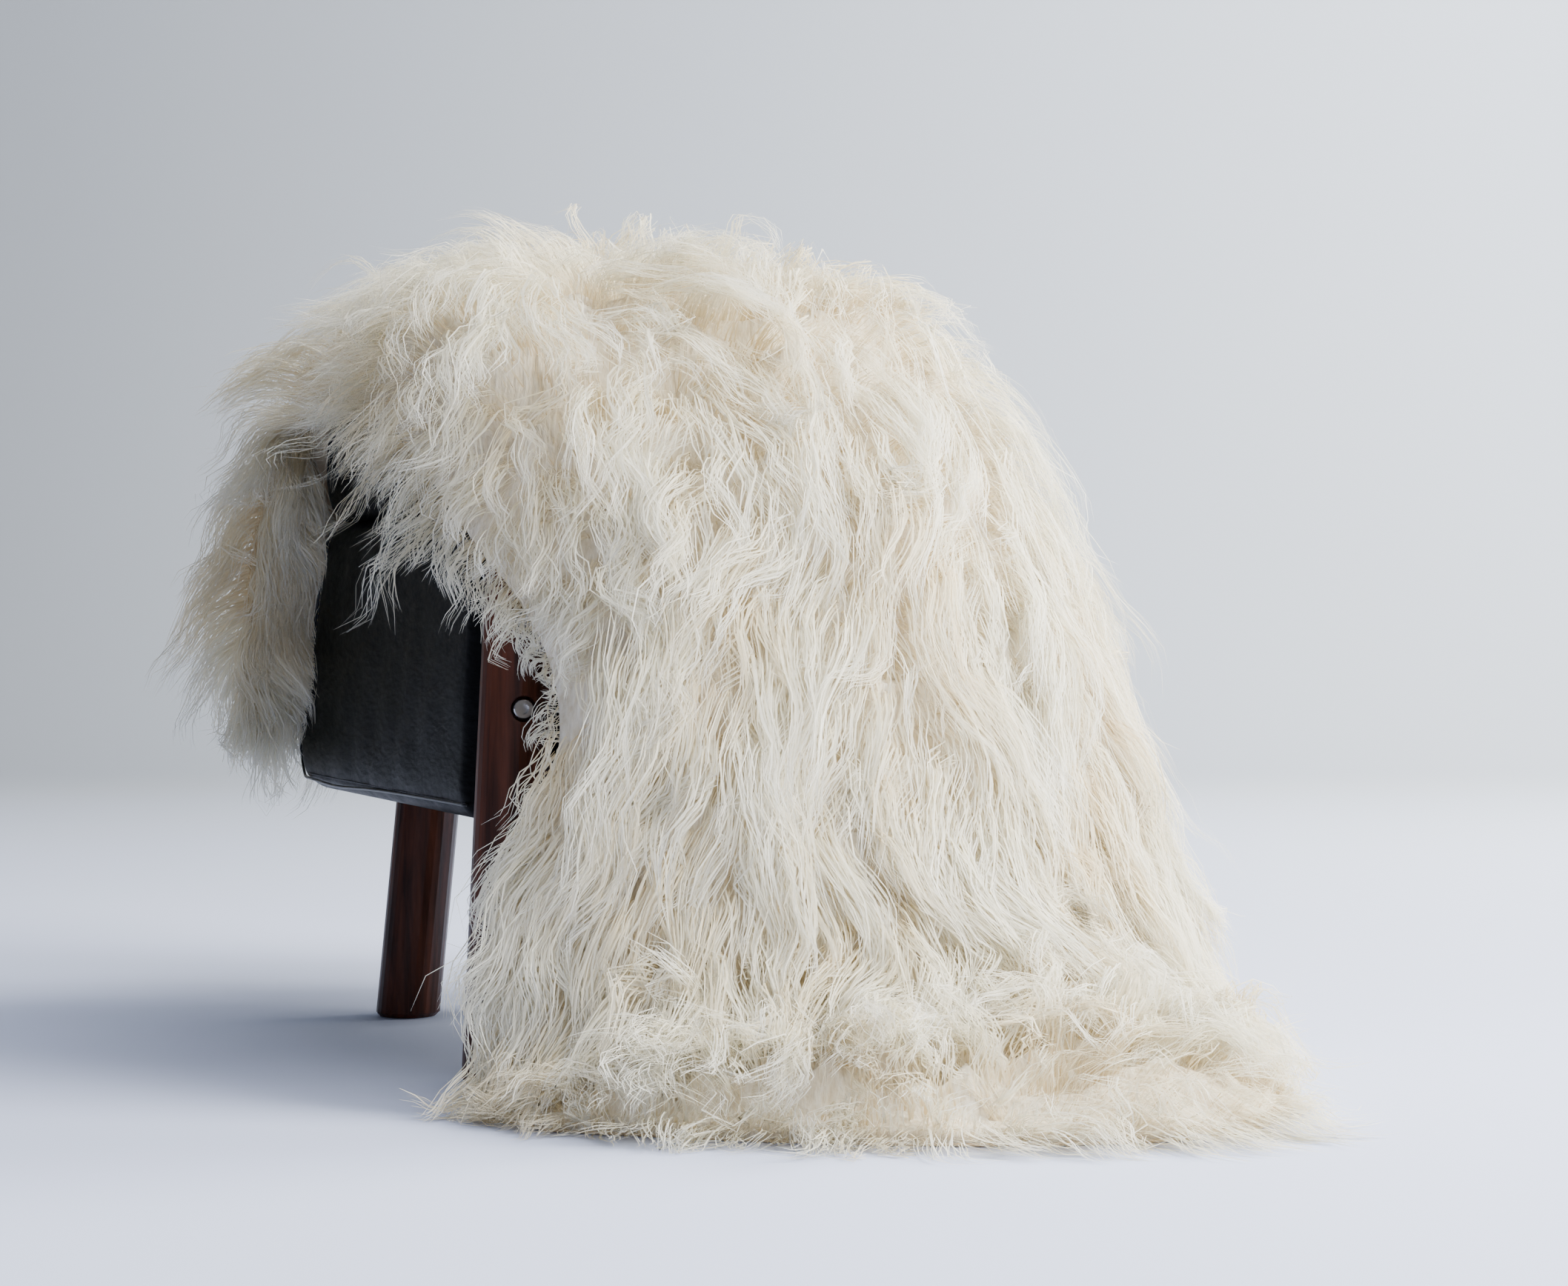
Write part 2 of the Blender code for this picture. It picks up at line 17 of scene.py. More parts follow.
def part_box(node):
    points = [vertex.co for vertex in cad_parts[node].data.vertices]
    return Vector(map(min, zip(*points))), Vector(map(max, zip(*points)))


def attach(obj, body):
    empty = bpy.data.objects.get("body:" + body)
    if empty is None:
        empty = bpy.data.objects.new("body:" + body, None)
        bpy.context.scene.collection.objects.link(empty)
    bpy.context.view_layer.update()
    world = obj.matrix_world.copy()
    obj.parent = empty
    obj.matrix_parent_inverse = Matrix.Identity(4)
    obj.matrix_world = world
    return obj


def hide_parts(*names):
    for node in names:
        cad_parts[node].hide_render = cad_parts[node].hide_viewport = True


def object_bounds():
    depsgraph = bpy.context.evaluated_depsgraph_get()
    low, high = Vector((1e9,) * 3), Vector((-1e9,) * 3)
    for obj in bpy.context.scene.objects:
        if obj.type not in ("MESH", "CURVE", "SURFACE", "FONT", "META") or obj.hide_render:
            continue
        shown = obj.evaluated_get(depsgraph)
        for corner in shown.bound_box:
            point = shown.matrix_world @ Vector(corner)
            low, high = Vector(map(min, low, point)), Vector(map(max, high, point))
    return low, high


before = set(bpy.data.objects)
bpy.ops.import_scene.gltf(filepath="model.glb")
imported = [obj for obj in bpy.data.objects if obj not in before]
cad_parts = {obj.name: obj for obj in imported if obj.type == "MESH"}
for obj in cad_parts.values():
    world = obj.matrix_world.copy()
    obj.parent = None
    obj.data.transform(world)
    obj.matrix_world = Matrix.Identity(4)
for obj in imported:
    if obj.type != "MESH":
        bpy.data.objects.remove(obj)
cad_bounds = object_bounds()

# Camera of the photograph, in its frame
CAMERA_PLACE = (0.0, -2.16, 0.304)
CAMERA_TILT = math.radians(0.605)
FOCAL_PIXELS = 4545
PICTURE_WIDTH = 2116
SENSOR = 36.0

# Seat, as in the solids
SEAT_CORNER = (-0.193, 0.018)
SEAT_TURN = math.radians(21.5)
SEAT_DEPTH = 0.444
SEAT_WIDTH = 0.27
SEAT_SIZE = np.array([SEAT_DEPTH, SEAT_WIDTH])
SEAT_TOP = 0.465
LEG_RADIUS = 0.02375
POST_TOP = 0.352
POST_INSET = 0.013
POST_SPLAY = 0.05
FOOT_CHAMFER = 0.003
BOLT_HEIGHTS = {"lower": 0.2395, "upper": 0.297}

# The hide in sections, as in the solids: the wool's height, and six places of the skin side
SECTIONS = [
    # section, wool height, left edge, left, mid left, mid right, right, right edge
    ("far hem", .050, (-.402, .430, .212), (-.330, .490, .238), (-.262, .533, .250),
     (-.183, .553, .252), (-.118, .588, .248), (-.060, .606, .240)),
    ("flap", .062, (-.403, .4285, .345), (-.325, .4755, .345), (-.248, .511, .345),
     (-.168, .540, .342), (-.097, .568, .325), (-.036, .580, .270)),
    ("far edge", .086, (-.367, .406, .447), (-.285, .455, .466), (-.192, .492, .4655),
     (-.115, .516, .450), (-.065, .530, .360), (-.030, .535, .240)),
    ("seat far", .092, (-.319, .296, .450), (-.223, .339, .4655), (-.125, .378, .4655),
     (-.040, .406, .425), (-.010, .4125, .320), (.006, .413, .205)),
    ("seat middle", .084, (-.274, .169, .438), (-.178, .212, .4655), (-.082, .255, .4655),
     (.008, .285, .430), (.0535, .292, .330), (.0805, .292, .215)),
    ("near edge", .068, (-.222, .010, .375), (-.135, .055, .4655), (-.045, .095, .4665),
     (.045, .135, .464), (.105, .195, .375), (.140, .240, .260)),
    ("shoulder", .058, (-.128, -.070, .262), (-.065, -.025, .375), (.020, .015, .418),
     (.100, .075, .405), (.155, .140, .320), (.195, .190, .215)),
    ("fall", .052, (-.150, -.110, .150), (-.055, -.095, .245), (.045, -.055, .285),
     (.130, .010, .275), (.190, .090, .215), (.235, .160, .135)),
    ("low fall", .044, (-.163, -.138, .045), (-.045, -.140, .115), (.075, -.115, .145),
     (.165, -.045, .150), (.225, .045, .120), (.270, .125, .050)),
    ("floor fold", .042, (-.163, -.152, .003), (-.035, -.160, .024), (.085, -.140, .042),
     (.172, -.078, .052), (.230, .005, .036), (.268, .090, .004)),
    ("train", .062, (-.156, -.182, .000), (-.030, -.210, .000), (.108, -.212, .000),
     (.222, -.165, .000), (.272, -.070, .000), (.284, .040, .000)),
    ("train hem", .052, (-.138, -.210, .000), (-.015, -.250, .000), (.125, -.268, .000),
     (.258, -.238, .000), (.298, -.150, .000), (.296, -.040, .000)),
]

# The grid of the skin side, as in the solids, and how finely it is read here
ALONG = 47
ACROSS = 23
FINER = 2
SKIN_GAP = 0.0004
EDGE_CLEARANCE = 0.003
GUARD_EDGE = 0.016
TOP_FAVOUR = 0.004
SETTLE_PASSES = 16
EVEN_PASSES = 6
NORMAL_PASSES = 30

# Pelt and underfur
PELT_THICK = 0.0018
UNDERFUR_SHARE = 0.52
UNDERFUR_RIM = 0.010
UNDERFUR_LUMP = 0.010
UNDERFUR_LUMP_SIZE = 0.034

# Wool: each lock is a guide path, and its strands gather toward the lock's tip
LOCK_COUNT = 4150
RIM_LOCK_COUNT = 520
WRAP_LOCK_COUNT = 330
STRANDS_PER_LOCK = 11
STEPS = 8
ROOT_SPREAD = 0.0125
GATHER = 0.78
BUNDLES = 3
TUFT_EVERY = 8
TUFT_PULL = 0.36
STRAND_WIDTH = 0.0008
WOOL_TOP_SPARE = 0.0245
WOOL_SIDE_SPARE = 0.026
LOCK_TABLE = [
    # section, shortest, longest, how curly, how upright, and the share of the length that is left
    # at the left and at the right edge
    ("far hem", .090, .130, .2, .20, .62, .80),
    ("flap", .100, .140, .2, .20, .80, .80),
    ("far edge", .080, .120, .4, .70, .85, .45),
    ("seat far", .080, .115, .6, 1.0, .60, .40),
    ("seat middle", .080, .120, .8, 1.0, .58, .40),
    ("near edge", .085, .130, .9, .80, .52, .40),
    ("shoulder", .090, .140, .8, .50, .22, .42),
    ("fall", .100, .155, .5, .28, .95, .45),
    ("low fall", .090, .140, .5, .25, .66, .45),
    ("floor fold", .080, .115, .7, .8, .45, .50),
    ("train", .085, .125, 1.0, 1.0, .34, .75),
    ("train hem", .070, .110, .9, .60, .45, .50),
]
WOOL_PARTS = ["wool_flap", "wool_seat", "wool_shoulder", "wool_fall", "wool_train", "wool_edge"]
WAIST_PLACE = 0.550
WAIST_REACH = 0.038
SEED = 11

# The reach of the hide's edge as shares of its run and width, and which locks are wrapped, short or wispy
EDGE_SHARE_ALONG = 0.06
EDGE_SHARE_ACROSS = 0.13
WRAP_SHARE = 0.20
SHORT_LOCKS = 0.12
SHORTER = 0.65
WISPY_LOCKS = 0.3

# Waves of a lock and of its strands, in metres
LENGTH_SPREAD = (0.86, 1.08)
BUNDLE_REACH = 0.0034
LOCK_WAVES = (0.050, 0.095)
STRAND_WAVES = (0.045, 0.090)
FRIZZ_REACH = (0.0003, 0.0018)
HOOK_REACH = (0.005, 0.013)

# Seat covers: how many points each outline has, and the cords and stitches on them
COVER_STEPS = 14
SEAM_HEIGHT = 0.196
SEAM_INSET = 0.013
SEAM_CORNER = 0.023
SEAM_TURN = 0.020
SEAM_DROP = 0.0195
SEAM_FOOT_IN = 0.0015
STITCH_PITCH = 0.0052
STITCH_LENGTH = 0.0034
STITCH_RADIUS = 0.00045
PIPING_AWAY = 0.0055
PIPING_RADIUS = 0.0011

# The body's outlines by height. The far foot is rounder than in the solids, as the photograph shows it
BODY_LEVELS = [
    # height, sides, near, far, corner
    (0.165, -0.006, -0.012, -0.004, 0.018),
    (0.167, 0.002, -0.006, 0.010, 0.020),
    (0.175, 0.010, 0.000, 0.024, 0.022),
    (0.190, 0.012, 0.000, 0.033, 0.024),
    (0.212, 0.011, 0.000, 0.034, 0.024),
    (0.250, 0.009, 0.000, 0.022, 0.022),
    (0.330, 0.003, 0.000, 0.004, 0.022),
    (0.358, -0.002, -0.001, -0.004, 0.022),
    (0.3685, -0.012, -0.012, -0.014, 0.018),
]
CUSHION_LEVELS = [
    # height, sides, near, far, corner
    (0.369, -0.012, -0.012, -0.014, 0.020),
    (0.380, -0.001, -0.002, -0.002, 0.030),
    (0.405, 0.003, 0.002, 0.003, 0.035),
    (0.438, 0.001, 0.000, 0.001, 0.036),
    (0.454, -0.006, -0.006, -0.006, 0.036),
    (0.4625, -0.014, -0.014, -0.014, 0.036),
    (0.4665, -0.028, -0.028, -0.028, 0.036),
]

# The studio's sweep of paper
SWEEP_NEAR = -6.0
SWEEP_FAR = 5.6
SWEEP_TURN = 1.6
SWEEP_HEIGHT = 5.0
SWEEP_WIDE = 13.0

# name, place, target, size, power, colour
LIGHTS = [
    ("key", (2.3, -0.9, 1.7), (0.05, 0.1, 0.25), (1.5, 1.6), 250, (1.0, 0.985, 0.93)),
    ("edge", (2.3, 1.3, 1.8), (0.1, 0.1, 0.25), (1.2, 1.4), 175, (1.0, 0.985, 0.92)),
    ("above", (0.5, -0.5, 2.6), (0.1, 0.1, 0.3), (1.6, 1.2), 60, (0.97, 0.98, 1.0)),
    ("wall", (2.6, 2.6, 2.6), (1.6, 5.6, 0.9), (3.2, 2.6), 420, (0.95, 0.975, 1.0)),
]


def seat_turn():
    """The seat's depth and width directions as the rows of a matrix."""
    sine, cosine = math.sin(SEAT_TURN), math.cos(SEAT_TURN)
    return np.array([[-sine, cosine], [cosine, sine]])


def to_seat(places):
    """Places as depth and width on the seat, and height."""
    return np.concatenate([(places[..., :2] - SEAT_CORNER) @ seat_turn().T, places[..., 2:]], axis=-1)


def seat_point(depth, across, height):
    """A place on the seat in the photograph's frame."""
    x, y = np.array([depth, across]) @ seat_turn() + SEAT_CORNER
    return Vector((x, y, height))


def post_axis(side):
    """A near post's centre at the floor and its lean. The right one mirrors the left one."""
    across = POST_INSET if side == "left" else SEAT_WIDTH - POST_INSET
    out = -1 if side == "left" else 1
    top = seat_point(-(LEG_RADIUS + SKIN_GAP), across, BOLT_HEIGHTS["lower"])
    away = seat_point(0, 1, 0) - seat_point(0, 0, 0)
    lean = (-out * POST_SPLAY * away.x, -out * POST_SPLAY * away.y)
    foot = (top.x - lean[0] * top.z, top.y - lean[1] * top.z)
    return foot, lean


def find_shift():
    """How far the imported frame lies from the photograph's frame, from the near left post's own box."""
    foot, lean = post_axis("left")
    low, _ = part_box("post_near_left")
    x = low[0] - (foot[0] + lean[0] * FOOT_CHAMFER - LEG_RADIUS)
    y = low[1] - (foot[1] + lean[1] * FOOT_CHAMFER - LEG_RADIUS)
    return np.array([x, y, 0.0])


def spline(values, places):
    """A Catmull-Rom curve through rows of values, read at the given places from 0 to 1."""
    values = np.asarray(values, float)
    padded = np.concatenate([2 * values[:1] - values[1:2], values, 2 * values[-1:] - values[-2:-1]])
    spans = len(values) - 1
    at = np.clip(np.asarray(places) * spans, 0, spans - 1e-9)
    span = at.astype(int)
    t = (at - span).reshape(-1, *[1] * (values.ndim - 1))
    a, b, c, d = (padded[span + k] for k in range(4))
    square = (2 * a - 5 * b + 4 * c - d) * t ** 2
    cube = (3 * b - 3 * c + d - a) * t ** 3
    return 0.5 * (2 * b + (c - a) * t + square + cube)


def spline_grid(values, along, across):
    """A grid of values read more finely both ways."""
    lengthwise = spline(values, np.linspace(0, 1, along))
    return np.swapaxes(spline(np.swapaxes(lengthwise, 0, 1), np.linspace(0, 1, across)), 0, 1)


def settle(grid):
    """Evens the grid out a little, and moves it until its faces clear the seat and the posts too."""
    for turn in range(SETTLE_PASSES):
        even = grid.copy()
        if turn < EVEN_PASSES:
            even[1:-1] += 0.25 * (grid[:-2] + grid[2:] - 2 * grid[1:-1])
            even[:, 1:-1] += 0.25 * (grid[:, :-2] + grid[:, 2:] - 2 * grid[:, 1:-1])
        grid = push_out(even, EDGE_CLEARANCE, SKIN_GAP)
        pairs = [
            (grid[:-1], grid[1:]),
            (grid[:, :-1], grid[:, 1:]),
            (grid[:-1, :-1], grid[1:, 1:]),
            (grid[:-1, 1:], grid[1:, :-1]),
        ]
        for one, two in pairs:
            middle = (one + two) / 2
            moved = push_out(middle, EDGE_CLEARANCE, SKIN_GAP) - middle
            one += moved
            two += moved
    return grid


def push_out(places, clear_side, clear_top):
    """Moves places that are too near the seat or a near post out to their clearance."""
    middle = np.array([*SEAT_SIZE / 2, SEAT_TOP / 2])
    half = middle + np.array([clear_side, clear_side, clear_top])
    offset = to_seat(places) - middle
    offset[..., 2] = np.maximum(offset[..., 2], 0.0)
    core = half - GUARD_EDGE
    nearest = np.clip(offset, -core, core)
    away = offset - nearest
    distance = np.linalg.norm(away, axis=-1, keepdims=True)
    rounded = nearest + away / np.maximum(distance, 1e-9) * GUARD_EDGE
    spare = half - np.abs(offset) - np.array([0.0, 0.0, TOP_FAVOUR])
    face = np.eye(3, dtype=bool)[np.argmin(spare, axis=-1)]
    flat = np.where(face, np.where(offset < 0, -half, half), offset)
    inside = (np.abs(offset) < core).all(axis=-1, keepdims=True)
    out = np.where(inside, flat, np.where(distance < GUARD_EDGE, rounded, offset)) + middle
    height = np.where(offset[..., 2:] > 0, out[..., 2:], places[..., 2:])
    moved = np.concatenate([out[..., :2] @ seat_turn() + SEAT_CORNER, height], axis=-1)
    for side in ("left", "right"):
        foot, lean = post_axis(side)
        centre = np.array(foot) + moved[..., 2:] * np.array(lean)
        reach = moved[..., :2] - centre
        distance = np.linalg.norm(reach, axis=-1, keepdims=True)
        least = LEG_RADIUS + clear_side
        close = (distance < least) & (moved[..., 2:] < POST_TOP + clear_side)
        moved[..., :2] = np.where(close, centre + reach / np.maximum(distance, 1e-9) * least, moved[..., :2])
    return moved


def smooth_normals(grid, passes):
    """Unit directions from the skin side into the wool, evened out so that inner folds don't cross."""
    lengthwise = np.gradient(grid, axis=0)
    crosswise = np.gradient(grid, axis=1)
    normals = np.cross(lengthwise, crosswise)
    normals /= np.linalg.norm(normals, axis=-1, keepdims=True)
    for _ in range(passes):
        padded = np.pad(normals, ((1, 1), (1, 1), (0, 0)), mode="edge")
        beside = padded[:-2, 1:-1] + padded[2:, 1:-1] + padded[1:-1, :-2] + padded[1:-1, 2:]
        normals = beside + 4 * normals
        normals /= np.linalg.norm(normals, axis=-1, keepdims=True)
    return normals


def find_surface():
    """The skin side and the directions into the wool, on the solids' grid and then read more finely."""
    table = np.array([row[2:] for row in SECTIONS])
    grid = settle(spline_grid(table, ALONG, ACROSS))
    grid[..., 2] = np.maximum(grid[..., 2], 0.0)
    normals = smooth_normals(grid, NORMAL_PASSES)
    along, across = FINER * (ALONG - 1) + 1, FINER * (ACROSS - 1) + 1
    fine = push_out(spline_grid(grid, along, across), EDGE_CLEARANCE, SKIN_GAP)
    fine[..., 2] = np.maximum(fine[..., 2], 0.0)
    fine_normals = spline_grid(normals, along, across)
    fine_normals /= np.linalg.norm(fine_normals, axis=-1, keepdims=True)
    return fine, fine_normals


def wave_noise(places, size, seed):
    """Smooth noise with three values at each place, from sines that run in random directions."""
    rng = np.random.default_rng(seed)
    total = np.zeros(places.shape)
    for _ in range(7):
        direction = rng.normal(size=3)
        direction *= 2 * math.pi / (size * rng.uniform(0.7, 1.6) * np.linalg.norm(direction))
        total += np.sin((places @ direction)[..., None] + rng.uniform(0, 2 * math.pi, 3))
    return total / 2.2


def unit(vectors):
    """Vectors scaled to length one."""
    return vectors / np.maximum(np.linalg.norm(vectors, axis=-1, keepdims=True), 1e-9)


def smooth_step(values):
    """Values from 0 to 1 with soft ends."""
    values = np.clip(values, 0, 1)
    return values * values * (3 - 2 * values)


def link_mesh(name, places, faces, finish):
    """A smooth mesh with one finish, as an object in the scene."""
    mesh = bpy.data.meshes.new(name)
    mesh.from_pydata(places, [], faces)
    mesh.materials.append(finish)
    mesh.polygons.foreach_set("use_smooth", [True] * len(mesh.polygons))
    built = bpy.data.objects.new(name, mesh)
    bpy.context.collection.objects.link(built)
    return built


def closed_sheet(name, lower, upper, finish):
    """A mesh between two grids of places, closed at its rim."""
    along, across = lower.shape[:2]
    places = np.concatenate([lower.reshape(-1, 3), upper.reshape(-1, 3)])
    index = np.arange(along * across).reshape(along, across)
    quads = np.stack([index[:-1, :-1], index[1:, :-1], index[1:, 1:], index[:-1, 1:]], axis=-1)
    quads = quads.reshape(-1, 4)
    top = quads + along * across
    rim = np.concatenate([index[0, :], index[1:, -1], index[-1, -2::-1], index[-2:0:-1, 0]])
    after = np.roll(rim, -1)
    walls = np.stack([rim, after, after + along * across, rim + along * across], axis=-1)
    faces = np.concatenate([quads[:, ::-1], top, walls])
    built = link_mesh(name, places.tolist(), faces.tolist(), finish)
    bm = bmesh.new()
    bm.from_mesh(built.data)
    bmesh.ops.recalc_face_normals(bm, faces=bm.faces)
    bm.to_mesh(built.data)
    bm.free()
    return built


def underfur_height(surface):
    """How far the matted underfur stands off the skin at each place of the grid."""
    along, across = surface.shape[:2]
    heights = np.array([row[1] for row in SECTIONS])
    full = spline(heights, np.linspace(0, 1, along))[:, None] * UNDERFUR_SHARE
    rows = np.minimum(np.arange(along), np.arange(along)[::-1])
    columns = np.minimum(np.arange(across), np.arange(across)[::-1])
    edge = smooth_step(np.minimum(rows[:, None], columns[None, :]) / 6)
    lumps = wave_noise(surface, UNDERFUR_LUMP_SIZE, SEED)[..., 0] * UNDERFUR_LUMP
    return UNDERFUR_RIM + (full - UNDERFUR_RIM + lumps) * edge


def read_grid(grid, u, v):
    """A grid's values at shares u along and v across it."""
    along, across = grid.shape[:2]
    i, j = u * (along - 1), v * (across - 1)
    i0 = np.clip(i.astype(int), 0, along - 2)
    j0 = np.clip(j.astype(int), 0, across - 2)
    a, b = (i - i0)[:, None], (j - j0)[:, None]
    low = grid[i0, j0] * (1 - a) + grid[i0 + 1, j0] * a
    high = grid[i0, j0 + 1] * (1 - a) + grid[i0 + 1, j0 + 1] * a
    return low * (1 - b) + high * b


def scatter_roots(grid, count, rng):
    """Shares u and v of roots spread evenly over the hide's area."""
    one = grid[1:, :-1] - grid[:-1, :-1]
    two = grid[:-1, 1:] - grid[:-1, :-1]
    areas = np.linalg.norm(np.cross(one, two), axis=-1)
    shares = np.cumsum(areas.ravel()) / areas.sum()
    cells = np.searchsorted(shares, (np.arange(count) + rng.random(count)) / count)
    cells = np.minimum(cells, areas.size - 1)
    u = (cells // areas.shape[1] + rng.random(count)) / areas.shape[0]
    v = (cells % areas.shape[1] + rng.random(count)) / areas.shape[1]
    return u, v


def scatter_rim(grid, count, rng):
    """Shares u and v of roots along the hide's rim."""
    along, across = grid.shape[:2]
    corners = [
        [(0, j) for j in range(across)],
        [(i, across - 1) for i in range(along)],
        [(along - 1, j) for j in range(across)][::-1],
        [(i, 0) for i in range(along)][::-1],
    ]
    path = np.array([place for side in corners for place in side])
    steps = np.linalg.norm(np.diff(grid[path[:, 0], path[:, 1]], axis=0), axis=1)
    lengths = np.concatenate([[0], np.cumsum(steps)])
    at = (np.arange(count) + rng.random(count)) / count * lengths[-1]
    u = np.interp(at, lengths, path[:, 0] / (along - 1))
    v = np.interp(at, lengths, path[:, 1] / (across - 1))
    return u, v


def plan_locks(surface, normals, rng):
    """Where each lock stands on the hide, which way it lies, and how long and curly it is."""
    u, v = scatter_roots(surface, LOCK_COUNT, rng)
    rim_u, rim_v = scatter_rim(surface, RIM_LOCK_COUNT, rng)
    wrap_u = rng.uniform(0.0, WRAP_SHARE, WRAP_LOCK_COUNT)
    u = np.concatenate([u, rim_u, wrap_u])
    v = np.concatenate([v, rim_v, np.zeros(WRAP_LOCK_COUNT)])
    kind = np.repeat(["field", "rim", "wrap"], [LOCK_COUNT, RIM_LOCK_COUNT, WRAP_LOCK_COUNT])
    wrap = (kind == "wrap")[:, None]
    root = read_grid(surface, u, v)
    normal = unit(read_grid(normals, u, v))
    lengthwise = unit(read_grid(np.gradient(surface, axis=0), u, v))
    crosswise = unit(read_grid(np.gradient(surface, axis=1), u, v))
    edge_u = smooth_step(1 - np.minimum(u, 1 - u) / EDGE_SHARE_ALONG)
    edge_v = smooth_step(1 - np.minimum(v, 1 - v) / EDGE_SHARE_ACROSS)
    waist = np.exp(-((u - WAIST_PLACE) / WAIST_REACH) ** 2) * (v < 0.5)
    edge_v = edge_v * (1 - 0.8 * waist) * np.where((v > 0.5) & (u < 0.8), 0.35, 1.0)
    outward = lengthwise * (np.sign(u - 0.5) * edge_u)[:, None]
    outward = outward + crosswise * (np.sign(v - 0.5) * edge_v)[:, None]
    down = np.array([0, 0, -1.0]) + normal * normal[:, 2:]
    flare = 1.5 + 3.0 * np.exp(-((u - 0.64) / 0.05) ** 2) * (v < 0.5) - 2.0 * waist
    flare = flare + 1.8 * smooth_step((u - 0.80) / 0.08) * (v > 0.5)
    spread = lengthwise * (0.22 * np.sign(u - 0.3))[:, None] + crosswise * ((v - 0.5) * flare)[:, None]
    calm = np.interp(u, [0.0, 0.2, 0.35, 0.55, 0.75, 1.0], [0.4, 0.7, 1.0, 0.55, 0.5, 1.0])[:, None]
    wander = calm * (0.75 * wave_noise(root, 0.17, SEED + 1) + 0.45 * wave_noise(root, 0.07, SEED + 2))
    lay = 1.25 * down + spread + wander + 1.0 * outward + 0.10 * rng.normal(size=root.shape)
    lay = unit(lay - normal * (lay * normal).sum(axis=-1, keepdims=True))
    inward = rng.uniform(-0.75, 0.35, (len(u), 1))
    behind = inward * outward - 0.30 * normal + np.array([0, 0, -0.9])
    behind = unit(behind + 0.12 * rng.normal(size=root.shape))
    lay = np.where(wrap, behind, lay)
    near_rim = np.clip(np.linalg.norm(outward, axis=-1), 0, 1)
    short, long, curl, upright, left, right = spline(np.array([row[1:] for row in LOCK_TABLE]), u).T
    upright = upright * np.interp(v, [0.0, 0.2, 0.5, 0.85], [0.8, 1.0, 0.9, 0.25])
    curl = curl * np.interp(v, [0.0, 0.4, 0.6, 1.0], [1.3, 1.2, 0.7, 0.5])
    length = short + (long - short) * rng.random(len(u)) ** 0.8
    length = length * np.where(rng.random(len(u)) < SHORT_LOCKS, SHORTER, 1.0)
    trim = np.where(v < 0.5, left, right)
    wispy = (kind == "rim") & (rng.random(len(u)) < WISPY_LOCKS) & ((v > 0.5) | (u < 0.46))
    trim = np.where(wispy, 0.9, trim)
    at_edge = smooth_step(1 - v / EDGE_SHARE_ACROSS) * waist
    combed = smooth_step((v - 0.80) / 0.18) * (u < 0.8)
    length = length * (1 - edge_v * (1 - trim)) * (1 - edge_u * 0.25)
    length = length * (1 - 0.90 * at_edge) * (1 - 0.45 * combed)
    return {
        "u": u, "v": v, "kind": kind, "root": root, "normal": normal, "lay": lay,
        "outward": unit(outward), "near_rim": near_rim, "length": length,
        "curl": np.clip(curl, 0, 1.2), "upright": np.clip(upright, 0.1, 1),
    }


def grow_guides(locks, heights, core, rng):
    """The guide path of each lock: up out of the underfur, then over along its lay and down."""
    count = len(locks["u"])
    stand = read_grid(heights[..., None], locks["u"], locks["v"])
    inside = (locks["kind"] == "field")[:, None]
    start = locks["root"] + locks["normal"] * np.where(inside, stand - 0.006, 0.003)
    turn_out = (0.80 * locks["near_rim"])[:, None] * np.where(inside, 0.7, 1.0)
    rise = unit(locks["normal"] * (1 - 0.85 * turn_out) + locks["outward"] * turn_out)
    rise = np.where((locks["kind"] == "wrap")[:, None], unit(locks["lay"] - 0.6 * locks["normal"]), rise)
    step = (locks["length"] / STEPS)[:, None]
    upright = locks["upright"][:, None]
    margin = rng.random((count, 1)) ** 1.3 * (0.012 + 0.028 * upright)
    lift = rng.uniform(-0.10, 0.25, (count, 1)) + 0.30 * (upright - 0.3)
    bend_at = rng.uniform(0.35, 0.85, (count, 1)) * (0.55 + 0.75 * upright)
    drop = np.array([0, 0, -1.0])
    paths = [start]
    for k in range(STEPS):
        share = (k + 0.5) / STEPS
        over = smooth_step(0.28 - 0.16 * upright + 0.80 * share / bend_at)
        sway = 0.34 * wave_noise(paths[-1], 0.05, SEED + 3) + 0.26 * wave_noise(paths[-1], 0.11, SEED + 4)
        lying = locks["lay"] + lift * locks["normal"] + (1.0 - 0.6 * upright) * share * drop
        heading = unit((1 - over) * rise + over * unit(lying) + share * sway)
        place = paths[-1] + heading * step
        place = hold_off(place, core, margin * smooth_step(np.array(share * 2.2)) + 0.0005)
        place = push_out(place, 0.0025, 0.0015)
        place[:, 2] = np.maximum(place[:, 2], 0.002)
        place = paths[-1] + unit(place - paths[-1]) * step
        paths.append(place)
    return gather_tufts(locks, np.stack(paths, axis=1))


def gather_tufts(locks, guides):
    """Draws the tips of neighbouring locks toward the lock in their middle, so that they form tufts."""
    centres = np.arange(0, LOCK_COUNT, TUFT_EVERY)
    apart = np.linalg.norm(locks["root"][:LOCK_COUNT, None] - locks["root"][None, centres], axis=-1)
    middle = guides[centres[np.argmin(apart, axis=1)]]
    pull = TUFT_PULL * smooth_step(np.linspace(0, 1, STEPS + 1))[None, :, None]
    drawn = guides.copy()
    drawn[:LOCK_COUNT] += (middle - guides[:LOCK_COUNT]) * pull
    return drawn


def hold_off(places, core, margin):
    """Moves places that are too deep in the underfur out to their margin above it."""
    out = places.copy()
    margin = np.broadcast_to(margin, (len(places), 1))
    for k, place in enumerate(places):
        near, normal, _, _ = core.find_nearest(Vector(place))
        depth = (Vector(place) - near).dot(normal)
        if depth < margin[k, 0]:
            out[k] = np.array(near + normal * margin[k, 0])
    return out


